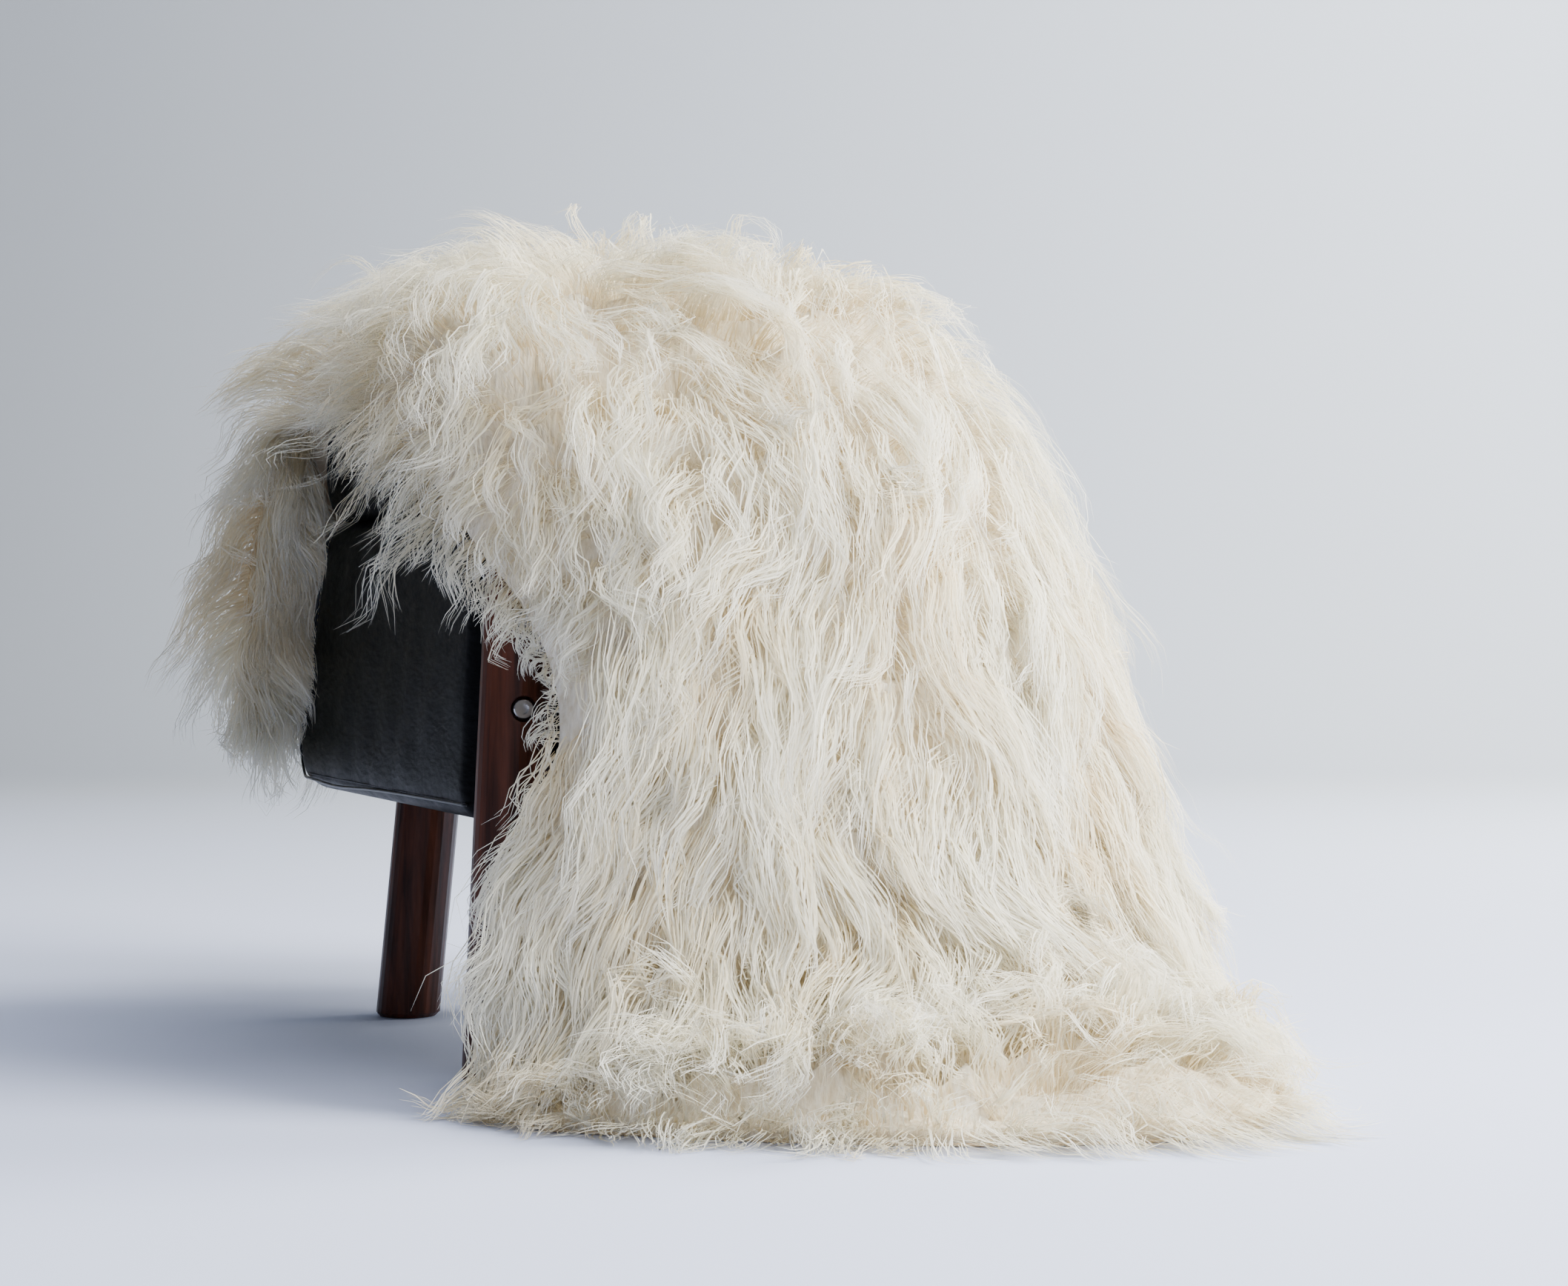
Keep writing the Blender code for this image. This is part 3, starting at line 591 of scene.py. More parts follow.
def grow_strands(locks, guides, rng):
    """The strands of every lock about its guide, with its waves, its gathered tip and some loose ones."""
    count, points = guides.shape[:2]
    per = STRANDS_PER_LOCK
    along = np.linspace(0, 1, points)[None, None, :, None]
    heading = unit(np.gradient(guides, axis=1))
    side = unit(np.cross(heading, locks["normal"][:, None, :] + 0.01))
    up = np.cross(side, heading)
    side, up, guide = side[:, None], up[:, None], guides[:, None]

    # Where each strand stands in its lock, as a bundle's place and its own place in that bundle
    radius = ROOT_SPREAD * np.sqrt(rng.random((count, per)))
    angle = rng.uniform(0, 2 * math.pi, (count, per))
    bundle = rng.integers(0, BUNDLES, (count, per))
    bundle_angle = rng.uniform(0, 2 * math.pi, (count, 1)) + bundle * 2 * math.pi / BUNDLES
    airy = 1 - 0.55 * locks["near_rim"][:, None, None, None]
    gather = GATHER * airy * smooth_step(along * 1.25)
    loose = (rng.random((count, per)) < 0.05 + 0.20 * locks["near_rim"][:, None])[..., None, None]
    gather = np.where(loose, 0.1, gather)
    bundle_reach = BUNDLE_REACH * smooth_step(along * 1.5) * (1.15 - 0.55 * along)
    across = (radius * np.cos(angle))[..., None, None] * (1 - gather)
    across = across + bundle_reach * np.cos(bundle_angle)[..., None, None]
    raised = (radius * np.sin(angle))[..., None, None] * (1 - gather) * 0.55
    raised = raised + bundle_reach * np.sin(bundle_angle)[..., None, None]

    # Waves: slow ones that the whole lock shares, small ones of each strand, and curls at the tip
    curl = locks["curl"][:, None, None, None]
    length = locks["length"][:, None, None, None] * rng.uniform(*LENGTH_SPREAD, (count, per, 1, 1))
    wave = rng.uniform(*LOCK_WAVES, (count, 1, 1, 1))
    phase = rng.uniform(0, 2 * math.pi, (count, 1, 1, 1)) + 0.35 * rng.normal(size=(count, per, 1, 1))
    reach = (0.0016 + 0.0050 * curl * rng.random((count, 1, 1, 1))) * smooth_step(along * 1.6)
    turn = 2 * math.pi * along * length / wave + phase
    across = across + reach * np.sin(turn)
    raised = raised + 0.6 * reach * np.cos(turn * 0.83 + 1.1)
    own = 2 * math.pi * along * length / rng.uniform(*STRAND_WAVES, (count, per, 1, 1))
    own = own + rng.uniform(0, 2 * math.pi, (count, per, 1, 1))
    frizz = rng.uniform(*FRIZZ_REACH, (count, per, 1, 1)) * np.where(loose, 2.6, 1.0) * along
    across = across + frizz * np.sin(own)
    raised = raised + frizz * np.cos(own * 1.13)
    hook = (rng.random((count, 1, 1, 1)) < 0.45 * curl) * rng.choice([-1, 1], (count, 1, 1, 1))
    hook = hook * rng.uniform(*HOOK_REACH, (count, 1, 1, 1)) * smooth_step((along - 0.5) / 0.5) ** 1.5
    across = across + hook
    stray_reach = 0.10 * np.clip(length, 0, 0.1)
    stray = np.clip(rng.normal(size=(count, per, 1, 1)), -1.6, 1.6)
    stray = np.where(loose, stray * stray_reach, 0) * along ** 2
    across, raised = across + stray, raised + np.abs(stray) * 0.5

    # Shorter and longer strands slide along the guide
    planned = locks["length"][:, None, None, None]
    slide = (length / planned - 1) * along * planned
    strands = guide + side * across + up * raised + heading[:, None] * slide
    flat = strands.reshape(-1, 3)
    flat = push_out(flat, 0.0016, 0.0012)
    flat[:, 2] = np.maximum(flat[:, 2], 0.0008)
    return flat.reshape(count * per, points, 3), up


def keep_in_box(strands, shift):
    """Bends the few strands back that would reach too far past the solids' own box."""
    low, high = (np.array(corner) - shift for corner in cad_bounds)
    low = low - np.array([WOOL_SIDE_SPARE, WOOL_SIDE_SPARE, 0.0])
    high = high + np.array([WOOL_SIDE_SPARE, WOOL_SIDE_SPARE, WOOL_TOP_SPARE])
    soft = np.array([0.016, 0.016, 0.012])
    above = np.maximum(strands - (high - soft), 0)
    strands = np.where(above > 0, high - soft + soft * np.tanh(above / soft), strands)
    below = np.maximum((low + soft) - strands, 0)
    below[..., 2] = 0
    return np.where(below > 0, low + soft - soft * np.tanh(below / soft), strands)


def add_ribbons(name, strands, outward, tones, finish, rng):
    """One mesh of thin ribbons, one for each strand, each with its own cell in the map for baking."""
    count, points = strands.shape[:2]
    along = np.linspace(0, 1, points)[None, :]
    heading = unit(np.gradient(strands, axis=1))
    flat = unit(np.cross(heading, outward))
    upright = np.cross(flat, heading)
    twist = rng.uniform(-0.35, 0.35, (count, 1)) + rng.uniform(-0.5, 0.5, (count, 1)) * along
    side = flat * np.cos(twist)[..., None] + upright * np.sin(twist)[..., None]
    width = STRAND_WIDTH * rng.lognormal(-0.06, 0.32, (count, 1))
    width = width * np.interp(along, [0, 0.15, 0.6, 0.9, 1.0], [0.85, 1.0, 0.85, 0.45, 0.12])
    half = side * (width / 2)[..., None]
    left, right = strands - half, strands + half
    verts = np.stack([left, right], axis=2).reshape(count, points * 2, 3)
    base = (np.arange(count) * points * 2)[:, None, None]
    k = np.arange(points - 1)
    quad = np.stack([2 * k, 2 * k + 1, 2 * k + 3, 2 * k + 2], axis=-1)[None]
    faces = (base + quad).reshape(-1, 4)
    mesh = bpy.data.meshes.new(name)
    mesh.vertices.add(verts.shape[0] * verts.shape[1])
    mesh.vertices.foreach_set("co", verts.ravel())
    mesh.loops.add(faces.size)
    mesh.loops.foreach_set("vertex_index", faces.ravel())
    mesh.polygons.add(len(faces))
    mesh.polygons.foreach_set("loop_start", np.arange(len(faces)) * 4)
    mesh.polygons.foreach_set("use_smooth", np.ones(len(faces), bool))
    mesh.update()
    columns = math.ceil(math.sqrt(count))
    cell = np.arange(count)
    cell_u = (cell % columns)[:, None] + np.array([[0.1, 0.9]])
    cell_v = (cell // columns)[:, None] + 0.06 + 0.88 * along
    places = np.stack(np.broadcast_arrays(cell_u[:, None, :], cell_v[:, :, None]), axis=-1) / columns
    uv = places.reshape(-1, 2)[faces.ravel()]
    layer = mesh.uv_layers.new(name="OFBake")
    layer.data.foreach_set("uv", uv.ravel())
    colour = mesh.color_attributes.new("tone", "FLOAT_COLOR", "POINT")
    values = np.empty((count, points, 2, 4))
    values[..., 0] = along[..., None]
    values[..., 1:] = tones[:, None, None, :]
    colour.data.foreach_set("color", values.ravel())
    mesh.materials.append(finish)
    built = bpy.data.objects.new(name, mesh)
    bpy.context.collection.objects.link(built)
    return built


def node_material(name):
    """A new material with nodes, and its Principled shader."""
    made = bpy.data.materials.new(name)
    made.use_nodes = True
    return made, made.node_tree.nodes, made.node_tree.links, made.node_tree.nodes["Principled BSDF"]


def two_stops(ramp, low, low_colour, high, high_colour):
    """Places and colours of a colour ramp's two stops."""
    first, last = ramp.color_ramp.elements
    first.position, first.color = low, (*low_colour, 1)
    last.position, last.color = high, (*high_colour, 1)


def add_noise(nodes, scale, detail):
    """A noise texture."""
    noise = nodes.new("ShaderNodeTexNoise")
    noise.inputs["Scale"].default_value = scale
    noise.inputs["Detail"].default_value = detail
    return noise


def add_bump(made, height, strength, distance):
    """A bump read from one socket."""
    bump = made.node_tree.nodes.new("ShaderNodeBump")
    bump.inputs["Strength"].default_value = strength
    bump.inputs["Distance"].default_value = distance
    made.node_tree.links.new(height, bump.inputs["Height"])
    return bump


def wool_material():
    """Cream wool, tanner at the root, partly the wool's yellower base and partly painted shade deep in the
    fleece, a little different from lock to lock, that lets some light through.
    """
    made, nodes, links, shader = node_material("wool_strands")
    tone = nodes.new("ShaderNodeAttribute")
    tone.attribute_name = "tone"
    parts = nodes.new("ShaderNodeSeparateColor")
    links.new(tone.outputs["Color"], parts.inputs["Color"])
    # Root to tip: the darker tan root is partly the wool's yellower base and partly painted shade deep in the
    # fleece.
    along = nodes.new("ShaderNodeValToRGB")
    ramp = along.color_ramp
    ramp.elements[0].position, ramp.elements[0].color = 0.0, (0.83, 0.70, 0.46, 1)
    ramp.elements[1].position, ramp.elements[1].color = 1.0, (0.965, 0.95, 0.87, 1)
    middle = ramp.elements.new(0.30)
    middle.color = (0.945, 0.90, 0.74, 1)
    links.new(parts.outputs["Red"], along.inputs["Fac"])
    lock = nodes.new("ShaderNodeValToRGB")
    lock.color_ramp.elements[0].color = (0.93, 0.86, 0.74, 1)
    lock.color_ramp.elements[1].position, lock.color_ramp.elements[1].color = 0.62, (1, 1, 1, 1)
    links.new(parts.outputs["Green"], lock.inputs["Fac"])
    tint = nodes.new("ShaderNodeMix")
    tint.data_type, tint.blend_type = "RGBA", "MULTIPLY"
    tint.inputs["Factor"].default_value = 1.0
    links.new(along.outputs["Color"], tint.inputs["A"])
    links.new(lock.outputs["Color"], tint.inputs["B"])
    light = nodes.new("ShaderNodeMapRange")
    light.inputs["To Min"].default_value, light.inputs["To Max"].default_value = 0.88, 1.03
    links.new(parts.outputs["Blue"], light.inputs["Value"])
    vary = nodes.new("ShaderNodeHueSaturation")
    links.new(tint.outputs["Result"], vary.inputs["Color"])
    links.new(light.outputs["Result"], vary.inputs["Value"])
    links.new(vary.outputs["Color"], shader.inputs["Base Color"])
    shader.inputs["Roughness"].default_value = 0.48
    shader.inputs["Specular IOR Level"].default_value = 0.35
    through = nodes.new("ShaderNodeBsdfTranslucent")
    links.new(vary.outputs["Color"], through.inputs["Color"])
    mix = nodes.new("ShaderNodeMixShader")
    mix.inputs["Fac"].default_value = 0.38
    links.new(shader.outputs["BSDF"], mix.inputs[1])
    links.new(through.outputs["BSDF"], mix.inputs[2])
    links.new(mix.outputs["Shader"], nodes["Material Output"].inputs["Surface"])
    return made


def underfur_material():
    """The matted fleece under the strands: tan, partly its own colour and partly painted shade under the
    locks, with fine streaks that run down the locks.
    """
    made, nodes, links, shader = node_material("wool_underfur")
    place = nodes.new("ShaderNodeTexCoord")
    stretch = nodes.new("ShaderNodeMapping")
    stretch.inputs["Scale"].default_value = (1.0, 1.0, 0.25)
    links.new(place.outputs["Object"], stretch.inputs["Vector"])
    streaks = add_noise(nodes, 260.0, 3.0)
    links.new(stretch.outputs["Vector"], streaks.inputs["Vector"])
    # Tan to cream: the darker tan is partly the fleece's own colour and partly painted shade under the
    # strands.
    ramp = nodes.new("ShaderNodeValToRGB")
    two_stops(ramp, 0.30, (0.70, 0.60, 0.43), 0.72, (0.90, 0.84, 0.72))
    links.new(streaks.outputs["Fac"], ramp.inputs["Fac"])
    links.new(ramp.outputs["Color"], shader.inputs["Base Color"])
    bump = add_bump(made, streaks.outputs["Fac"], 0.7, 0.003)
    links.new(bump.outputs["Normal"], shader.inputs["Normal"])
    shader.inputs["Roughness"].default_value = 0.9
    shader.inputs["Specular IOR Level"].default_value = 0.1
    return made


def suede_material():
    """The skin side: pale tan suede with a soft, uneven nap."""
    made, nodes, links, shader = node_material("skin_suede")
    nap = add_noise(nodes, 34.0, 5.0)
    ramp = nodes.new("ShaderNodeValToRGB")
    two_stops(ramp, 0.32, (0.58, 0.45, 0.29), 0.70, (0.72, 0.59, 0.41))
    links.new(nap.outputs["Fac"], ramp.inputs["Fac"])
    links.new(ramp.outputs["Color"], shader.inputs["Base Color"])
    fine = nodes.new("ShaderNodeTexNoise")
    fine.inputs["Scale"].default_value = 900.0
    bump = add_bump(made, fine.outputs["Fac"], 0.25, 0.0006)
    links.new(bump.outputs["Normal"], shader.inputs["Normal"])
    shader.inputs["Roughness"].default_value = 0.85
    shader.inputs["Sheen Weight"].default_value = 0.3
    return made


def leather_material():
    """Black leather with a pebbled grain and a soft gloss that wears a little uneven."""
    made, nodes, links, shader = node_material("leather_black")
    shader.inputs["Base Color"].default_value = (0.0025, 0.0025, 0.0028, 1)
    shader.inputs["Specular IOR Level"].default_value = 0.05
    cells = nodes.new("ShaderNodeTexVoronoi")
    cells.feature = "DISTANCE_TO_EDGE"
    cells.inputs["Scale"].default_value = 620.0
    creases = add_noise(nodes, 42.0, 4.0)
    grain = add_bump(made, cells.outputs["Distance"], 0.22, 0.0006)
    soft = add_bump(made, creases.outputs["Fac"], 0.18, 0.004)
    links.new(grain.outputs["Normal"], soft.inputs["Normal"])
    links.new(soft.outputs["Normal"], shader.inputs["Normal"])
    gloss = nodes.new("ShaderNodeMapRange")
    gloss.inputs["To Min"].default_value, gloss.inputs["To Max"].default_value = 0.34, 0.50
    links.new(creases.outputs["Fac"], gloss.inputs["Value"])
    links.new(gloss.outputs["Result"], shader.inputs["Roughness"])
    return made


def wood_material():
    """Red-brown stained wood whose grain runs along the legs, under a satin varnish."""
    made, nodes, links, shader = node_material("wood_stained")
    place = nodes.new("ShaderNodeTexCoord")
    stretch = nodes.new("ShaderNodeMapping")
    stretch.inputs["Scale"].default_value = (1.0, 1.0, 0.06)
    links.new(place.outputs["Object"], stretch.inputs["Vector"])
    rings = add_noise(nodes, 150.0, 6.0)
    rings.inputs["Distortion"].default_value = 0.4
    links.new(stretch.outputs["Vector"], rings.inputs["Vector"])
    ramp = nodes.new("ShaderNodeValToRGB")
    two_stops(ramp, 0.35, (0.030, 0.0085, 0.0045), 0.68, (0.105, 0.030, 0.0145))
    links.new(rings.outputs["Fac"], ramp.inputs["Fac"])
    links.new(ramp.outputs["Color"], shader.inputs["Base Color"])
    bump = add_bump(made, rings.outputs["Fac"], 0.08, 0.0005)
    links.new(bump.outputs["Normal"], shader.inputs["Normal"])
    shader.inputs["Roughness"].default_value = 0.38
    shader.inputs["Specular IOR Level"].default_value = 0.18
    shader.inputs["Coat Weight"].default_value = 0.04
    shader.inputs["Coat Roughness"].default_value = 0.25
    return made


def plain_material(name, colour, roughness, metallic=0.0):
    """A finish of one colour."""
    made, _, _, shader = node_material(name)
    shader.inputs["Base Color"].default_value = (*colour, 1)
    shader.inputs["Roughness"].default_value = roughness
    shader.inputs["Metallic"].default_value = metallic
    return made


def place_in_frame(obj, shift):
    """Moves a piece built in the photograph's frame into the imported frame, and lets it ride the one body."""
    obj.location = Vector(shift)
    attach(obj, "root")


def add_wool(locks, strands, outward, rng):
    """The strands in pieces: the rim's locks, and the rest by how far along the hide they stand."""
    per = STRANDS_PER_LOCK
    count = len(locks["u"])
    finish = wool_material()
    tones = np.empty((count, per, 3))
    patch = wave_noise(locks["root"], 0.11, SEED + 6)[:, 0]
    tones[..., 0] = np.clip(0.62 + 0.22 * patch + 0.20 * rng.normal(size=count), 0, 1)[:, None]
    tones[..., 1] = rng.random((count, per))
    tones[..., 2] = locks["u"][:, None]
    tones = tones.reshape(-1, 3)
    outward = np.repeat(outward.reshape(count, STEPS + 1, 3), per, axis=0)
    order = np.argsort(locks["u"] + np.where(locks["kind"] == "field", 0, 10), kind="stable")
    pieces = []
    for name, share in zip(WOOL_PARTS, np.array_split(order, len(WOOL_PARTS))):
        rows = (share[:, None] * per + np.arange(per)).ravel()
        pieces.append(add_ribbons(name, strands[rows], outward[rows], tones[rows], finish, rng))
    return pieces


def add_hide(surface, normals, shift):
    """The pelt as one thin sheet, the underfur on it and every lock of wool."""
    rng = np.random.default_rng(SEED)
    pelt = closed_sheet("pelt", surface, surface + normals * PELT_THICK, suede_material())
    heights = underfur_height(surface)
    under_low = surface + normals * (PELT_THICK + 0.0002)
    under_top = surface + normals * np.maximum(heights, PELT_THICK + 0.002)[..., None]
    under_top[..., 2] = np.maximum(under_top[..., 2], under_low[..., 2])
    underfur = closed_sheet("underfur", under_low, under_top, underfur_material())
    core = BVHTree.FromPolygons(
        [vertex.co.copy() for vertex in underfur.data.vertices],
        [tuple(face.vertices) for face in underfur.data.polygons],
    )
    locks = plan_locks(surface, normals, rng)
    guides = grow_guides(locks, heights, core, rng)
    strands, outward = grow_strands(locks, guides, rng)
    strands = keep_in_box(strands, shift)
    wool = add_wool(locks, strands, outward, rng)
    for piece in [pelt, underfur, *wool]:
        place_in_frame(piece, shift)
    return pelt, underfur, wool


def rounded_outline(height, sides, near, far, corner, steps):
    """The seat's rectangle grown by the given amounts, with round corners and even points between them."""
    low_d, high_d = -near, SEAT_DEPTH + far
    low_w, high_w = -sides, SEAT_WIDTH + sides
    centres = [
        (high_d - corner, high_w - corner), (low_d + corner, high_w - corner),
        (low_d + corner, low_w + corner), (high_d - corner, low_w + corner),
    ]
    ring = []
    for quarter, (depth, across) in enumerate(centres):
        turns = np.radians(90 * (quarter + np.arange(steps) / (steps - 1)))
        arc = np.stack([depth + corner * np.cos(turns), across + corner * np.sin(turns)], axis=-1)
        ring.append(arc)
        following = centres[(quarter + 1) % 4]
        turn = math.radians(90 * (quarter + 1))
        end = np.array([following[0] + corner * math.cos(turn), following[1] + corner * math.sin(turn)])
        shares = np.arange(1, 2 * steps)[:, None] / (2 * steps)
        ring.append(arc[-1] + (end - arc[-1]) * shares)
    flat = np.concatenate(ring) @ seat_turn() + SEAT_CORNER
    return np.concatenate([flat, np.full((len(flat), 1), height)], axis=1)


def add_cover(name, levels, finish, crease, shift):
    """A leather cover over one block of the seat: its outlines read finely and slightly wrinkled."""
    fine = spline(np.array(levels), np.linspace(0, 1, 4 * (len(levels) - 1) + 1))
    fine[:, 4] = np.clip(fine[:, 4], 0.016, 0.04)
    rings = np.stack([rounded_outline(*level, COVER_STEPS) for level in fine])
    middle = rings.mean(axis=1, keepdims=True)
    dents = wave_noise(rings, 0.07, SEED + 8)[..., 0] + 0.5 * wave_noise(rings, 0.03, SEED + 9)[..., 0]
    fade = np.sin(np.linspace(0, math.pi, len(rings)))[:, None]
    rings[..., :2] += unit((rings - middle)[..., :2]) * (crease * (dents - 1.0) * fade)[..., None]
    count = rings.shape[1]
    faces = []
    for k in range(len(rings) - 1):
        for i in range(count):
            below, after = k * count, (i + 1) % count
            faces.append((below + i, below + after, below + count + after, below + count + i))
    faces.append(tuple(range(count))[::-1])
    faces.append(tuple(range((len(rings) - 1) * count, len(rings) * count)))
    built = link_mesh(name, rings.reshape(-1, 3).tolist(), faces, finish)
    place_in_frame(built, shift)
    return built


def seam_path(side):
    """The seam on a side panel: down its far corner, round the foot and forward along the bottom."""
    levels = spline(np.array(BODY_LEVELS), np.linspace(0, 1, 90))
    levels = levels[levels[:, 0] > SEAM_HEIGHT][::-1]
    round_in = SEAM_CORNER - math.sqrt(SEAM_CORNER ** 2 - (SEAM_CORNER - SEAM_INSET) ** 2)
    places = []
    for height, sides, _, far, _ in levels:
        places.append(side_point(side, SEAT_DEPTH + far - SEAM_INSET, sides - round_in, height))
    foot = levels[-1]
    for turn in np.radians(np.linspace(12, 90, 9)):
        depth = SEAT_DEPTH + foot[3] - SEAM_INSET - SEAM_TURN * (1 - math.cos(turn))
        inward = round_in * math.cos(turn) + SEAM_FOOT_IN * math.sin(turn)
        places.append(side_point(side, depth, foot[1] - inward, SEAM_HEIGHT - SEAM_DROP * math.sin(turn)))
    for share in np.linspace(0.04, 1, 40):
        depth = (SEAT_DEPTH + foot[3] - SEAM_INSET - SEAM_TURN) * (1 - share) + 0.012 * share
        places.append(side_point(side, depth, foot[1] - SEAM_FOOT_IN, SEAM_HEIGHT - SEAM_DROP))
    return np.array(places)


def side_point(side, depth, sides, height):
    """A place on one of the seat's side panels."""
    across = -sides if side == "left" else SEAT_WIDTH + sides
    return seat_point(depth, across, height)


def tube_shape(path, radius, sides):
    """Places and faces of a closed tube along a path."""
    heading = unit(np.gradient(path, axis=0))
    across = unit(np.cross(heading, [0.3, 0.2, 1.0]))
    upright = np.cross(across, heading)
    turns = 2 * math.pi * np.arange(sides) / sides
    ring = across[:, None] * np.cos(turns)[:, None] + upright[:, None] * np.sin(turns)[:, None]
    places = (path[:, None] + radius * ring).reshape(-1, 3)
    faces = []
    for k in range(len(path) - 1):
        for i in range(sides):
            below, after = k * sides, (i + 1) % sides
            faces.append((below + i, below + after, below + sides + after, below + sides + i))
    faces.append(tuple(range(sides))[::-1])
    faces.append(tuple(range((len(path) - 1) * sides, len(path) * sides)))
    return places, faces


def join_shapes(name, shapes, finish):
    """One smooth mesh from several lists of places and faces."""
    places, faces = [], []
    for shape_places, shape_faces in shapes:
        base = len(places)
        places.extend(np.asarray(shape_places).tolist())
        faces.extend(tuple(base + index for index in face) for face in shape_faces)
    return link_mesh(name, places, faces, finish)


def add_seams(shift):
    """A cord of piping and a row of stitches on each side panel."""
    cord = plain_material("piping_leather", (0.010, 0.010, 0.011), 0.40)
    thread = plain_material("thread_black", (0.10, 0.10, 0.105), 0.6)
    for side in ("left", "right"):
        path = seam_path(side)
        lengths = np.concatenate([[0], np.cumsum(np.linalg.norm(np.diff(path, axis=0), axis=1))])
        even = np.arange(0.002, lengths[-1], STITCH_PITCH)
        stitches = []
        for start in even:
            at = np.linspace(start, min(start + STITCH_LENGTH, lengths[-1]), 4)
            places = np.stack([np.interp(at, lengths, path[:, axis]) for axis in range(3)], axis=-1)
            stitches.append(tube_shape(places, STITCH_RADIUS, 5))
        row = join_shapes(f"stitches_{side}", stitches, thread)
        away = path.mean(axis=0) - path
        moved = path - unit(away) * PIPING_AWAY
        piping = join_shapes(f"piping_{side}", [tube_shape(moved, PIPING_RADIUS, 8)], cord)
        for piece, slot in ((row, "thread"), (piping, "leather")):
            place_in_frame(piece, shift)


def sweep_with_painted_light_material():
    """The studio's paper, one sheet with painted light: a floor painted bluer and brighter at the front, and a
    greyer wall with painted shade that darkens it toward the left.
    """
    made, nodes, links, shader = node_material("sweep")
    place = nodes.new("ShaderNodeTexCoord")
    parts = nodes.new("ShaderNodeSeparateXYZ")
    links.new(place.outputs["Object"], parts.inputs["Vector"])
    height = nodes.new("ShaderNodeMapRange")
    height.inputs["From Min"].default_value, height.inputs["From Max"].default_value = 0.2, 3.6
    links.new(parts.outputs["Y"], height.inputs["Value"])
    side = nodes.new("ShaderNodeMapRange")
    side.inputs["From Min"].default_value, side.inputs["From Max"].default_value = -1.7, 1.7
    links.new(parts.outputs["X"], side.inputs["Value"])
    # Painted shade on the wall: darker toward the left, lighter toward the right.
    wall = nodes.new("ShaderNodeMix")
    wall.data_type = "RGBA"
    wall.inputs["A"].default_value = (0.37, 0.39, 0.425, 1)
    wall.inputs["B"].default_value = (0.56, 0.59, 0.635, 1)
    links.new(side.outputs["Result"], wall.inputs["Factor"])
    # Painted light on the paper: the floor is painted bluer and brighter at the front and fades back into the
    # greyer wall colour.
    paper = nodes.new("ShaderNodeMix")
    paper.data_type = "RGBA"
    paper.inputs["A"].default_value = (0.585, 0.645, 0.86, 1)
    links.new(height.outputs["Result"], paper.inputs["Factor"])
    links.new(wall.outputs["Result"], paper.inputs["B"])
    links.new(paper.outputs["Result"], shader.inputs["Base Color"])
    shader.inputs["Roughness"].default_value = 0.85
    return made


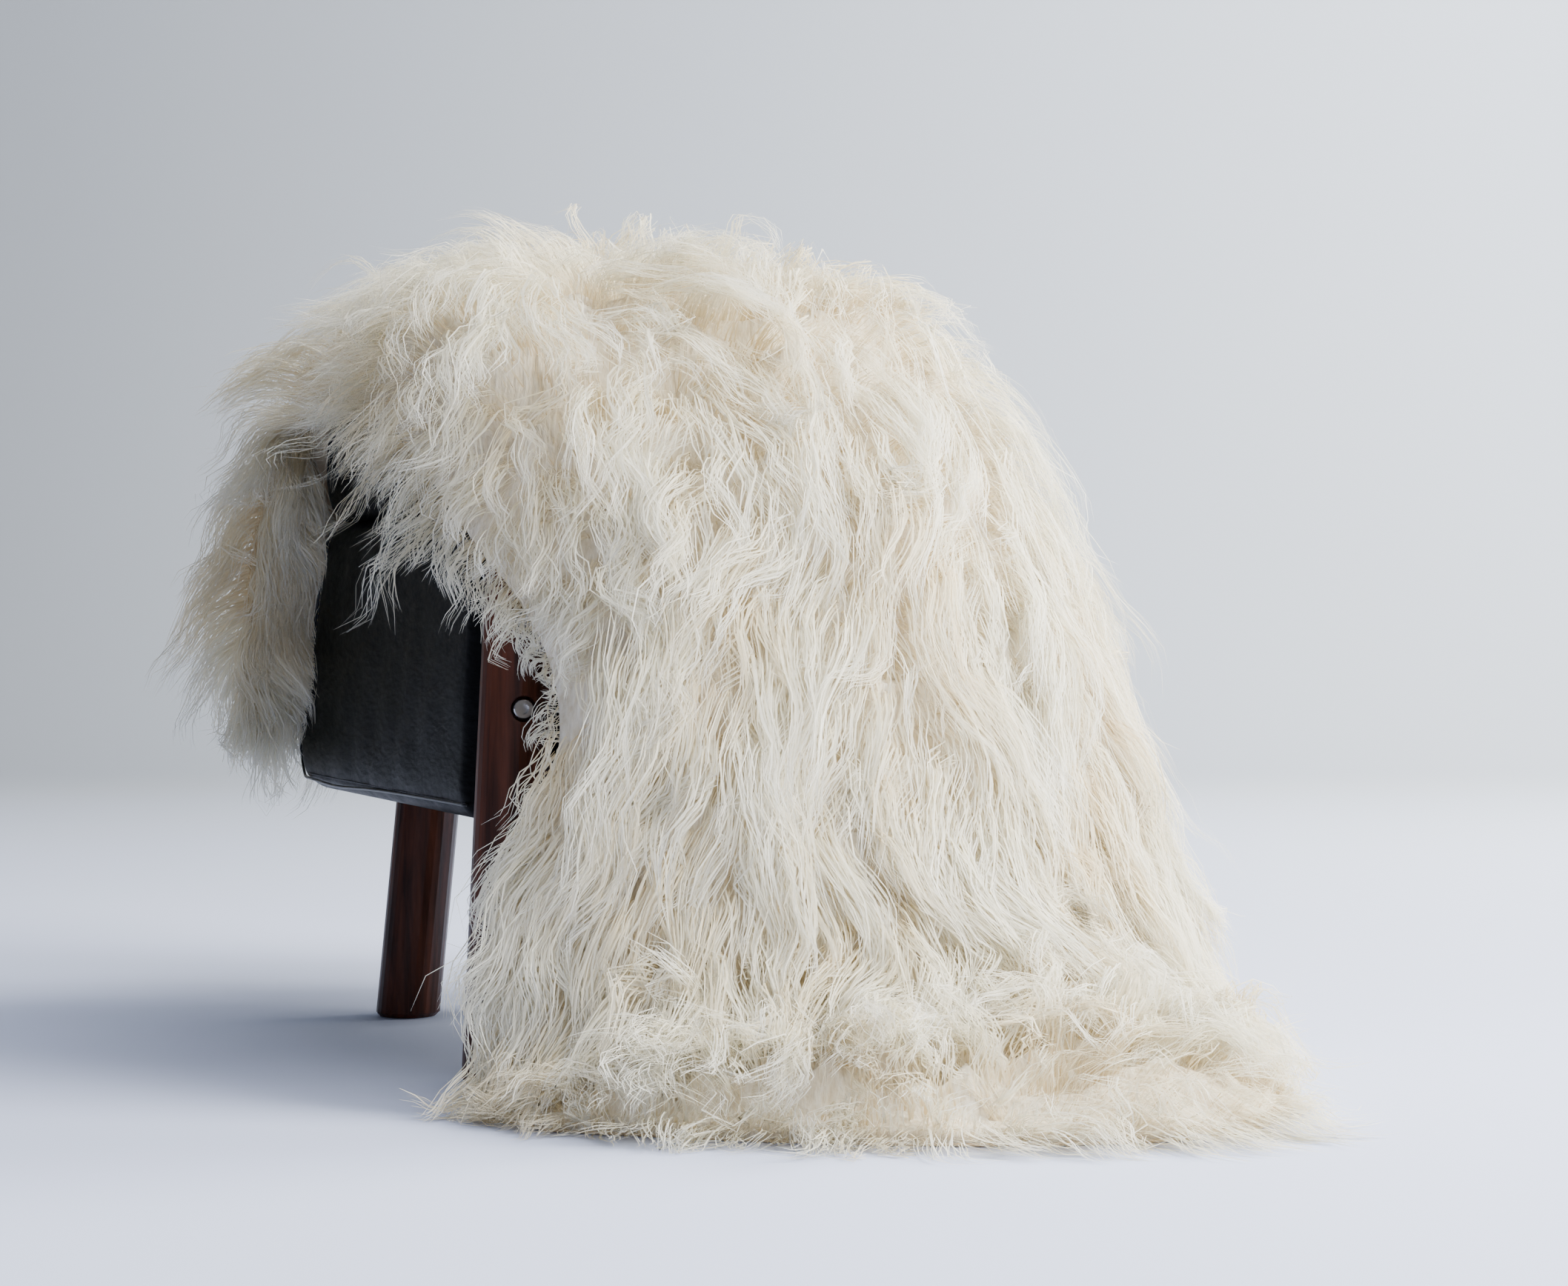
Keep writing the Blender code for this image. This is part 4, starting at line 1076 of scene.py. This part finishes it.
def set_stage(shift):
    """A sweep that is floor and wall in one, and the camera and lights of the photograph."""
    points = [(SWEEP_NEAR, 0.0), (SWEEP_FAR - SWEEP_TURN, 0.0)]
    for turn in np.radians(np.linspace(7.5, 90, 12)):
        points.append((SWEEP_FAR - SWEEP_TURN * (1 - math.sin(turn)), SWEEP_TURN * (1 - math.cos(turn))))
    points.append((SWEEP_FAR, SWEEP_HEIGHT))
    verts = [(side * SWEEP_WIDE / 2, y, z - 0.0006) for y, z in points for side in (-1, 1)]
    faces = [(2 * k, 2 * k + 1, 2 * k + 3, 2 * k + 2) for k in range(len(points) - 1)]
    sweep = link_mesh("sweep", verts, faces, sweep_with_painted_light_material())
    sweep.location = Vector(shift)

    for name, place, target, size, power, colour in LIGHTS:
        data = bpy.data.lights.new(name, "AREA")
        data.shape, data.size, data.size_y = "RECTANGLE", *size
        data.energy, data.color = power, colour
        light = bpy.data.objects.new(name, data)
        light.location = Vector(place) + Vector(shift)
        light.rotation_euler = (Vector(target) - Vector(place)).to_track_quat("-Z", "Y").to_euler()
        bpy.context.collection.objects.link(light)

    world = bpy.data.worlds.new("room")
    world.use_nodes = True
    nodes, links = world.node_tree.nodes, world.node_tree.links
    place = nodes.new("ShaderNodeTexCoord")
    parts = nodes.new("ShaderNodeSeparateXYZ")
    links.new(place.outputs["Generated"], parts.inputs["Vector"])
    reach = nodes.new("ShaderNodeMapRange")
    reach.inputs["From Min"].default_value, reach.inputs["From Max"].default_value = -1.0, 1.0
    reach.inputs["To Min"].default_value, reach.inputs["To Max"].default_value = 0.02, 0.62
    links.new(parts.outputs["X"], reach.inputs["Value"])
    room = nodes["Background"]
    room.inputs["Color"].default_value = (0.78, 0.86, 1.0, 1)
    links.new(reach.outputs["Result"], room.inputs["Strength"])
    bpy.context.scene.world = world

    data = bpy.data.cameras.new("camera")
    data.lens = FOCAL_PIXELS * SENSOR / PICTURE_WIDTH
    data.sensor_width = SENSOR
    camera = bpy.data.objects.new("camera", data)
    camera.location = Vector(CAMERA_PLACE) + Vector(shift)
    camera.rotation_euler = (math.radians(90) - CAMERA_TILT, 0, 0)
    bpy.context.collection.objects.link(camera)
    bpy.context.scene.camera = camera


def finish_node(name, finish):
    """Gives every face of a node of the solids one finish."""
    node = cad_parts[name]
    for place in range(len(node.material_slots)):
        node.material_slots[place].material = finish


def dress_nodes():
    """Wood grain on the legs and bright steel on the bolts."""
    wood, steel = wood_material(), plain_material("bolt_steel", (0.55, 0.55, 0.56), 0.28, 1.0)
    for name in ("post_near_left", "post_near_right", "leg_far_left", "leg_far_right"):
        finish_node(name, wood)
    for side in ("left", "right"):
        for place in BOLT_HEIGHTS:
            finish_node(f"bolt_{side}_{place}", steel)


def main():
    """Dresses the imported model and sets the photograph's stage."""
    shift = find_shift()
    surface, normals = find_surface()
    pelt, underfur, wool = add_hide(surface, normals, shift)
    leather = leather_material()
    body = add_cover("seat_cover", BODY_LEVELS, leather, 0.0010, shift)
    cushion = add_cover("cushion_cover", CUSHION_LEVELS, leather, 0.0008, shift)
    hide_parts("seat_body")
    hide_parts("cushion")
    add_seams(shift)
    dress_nodes()
    replaced = [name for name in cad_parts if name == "fleece" or name.startswith("locks_")]
    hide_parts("fleece")
    for piece in [underfur, *wool]:
        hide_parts(*replaced)
    set_stage(shift)


main()
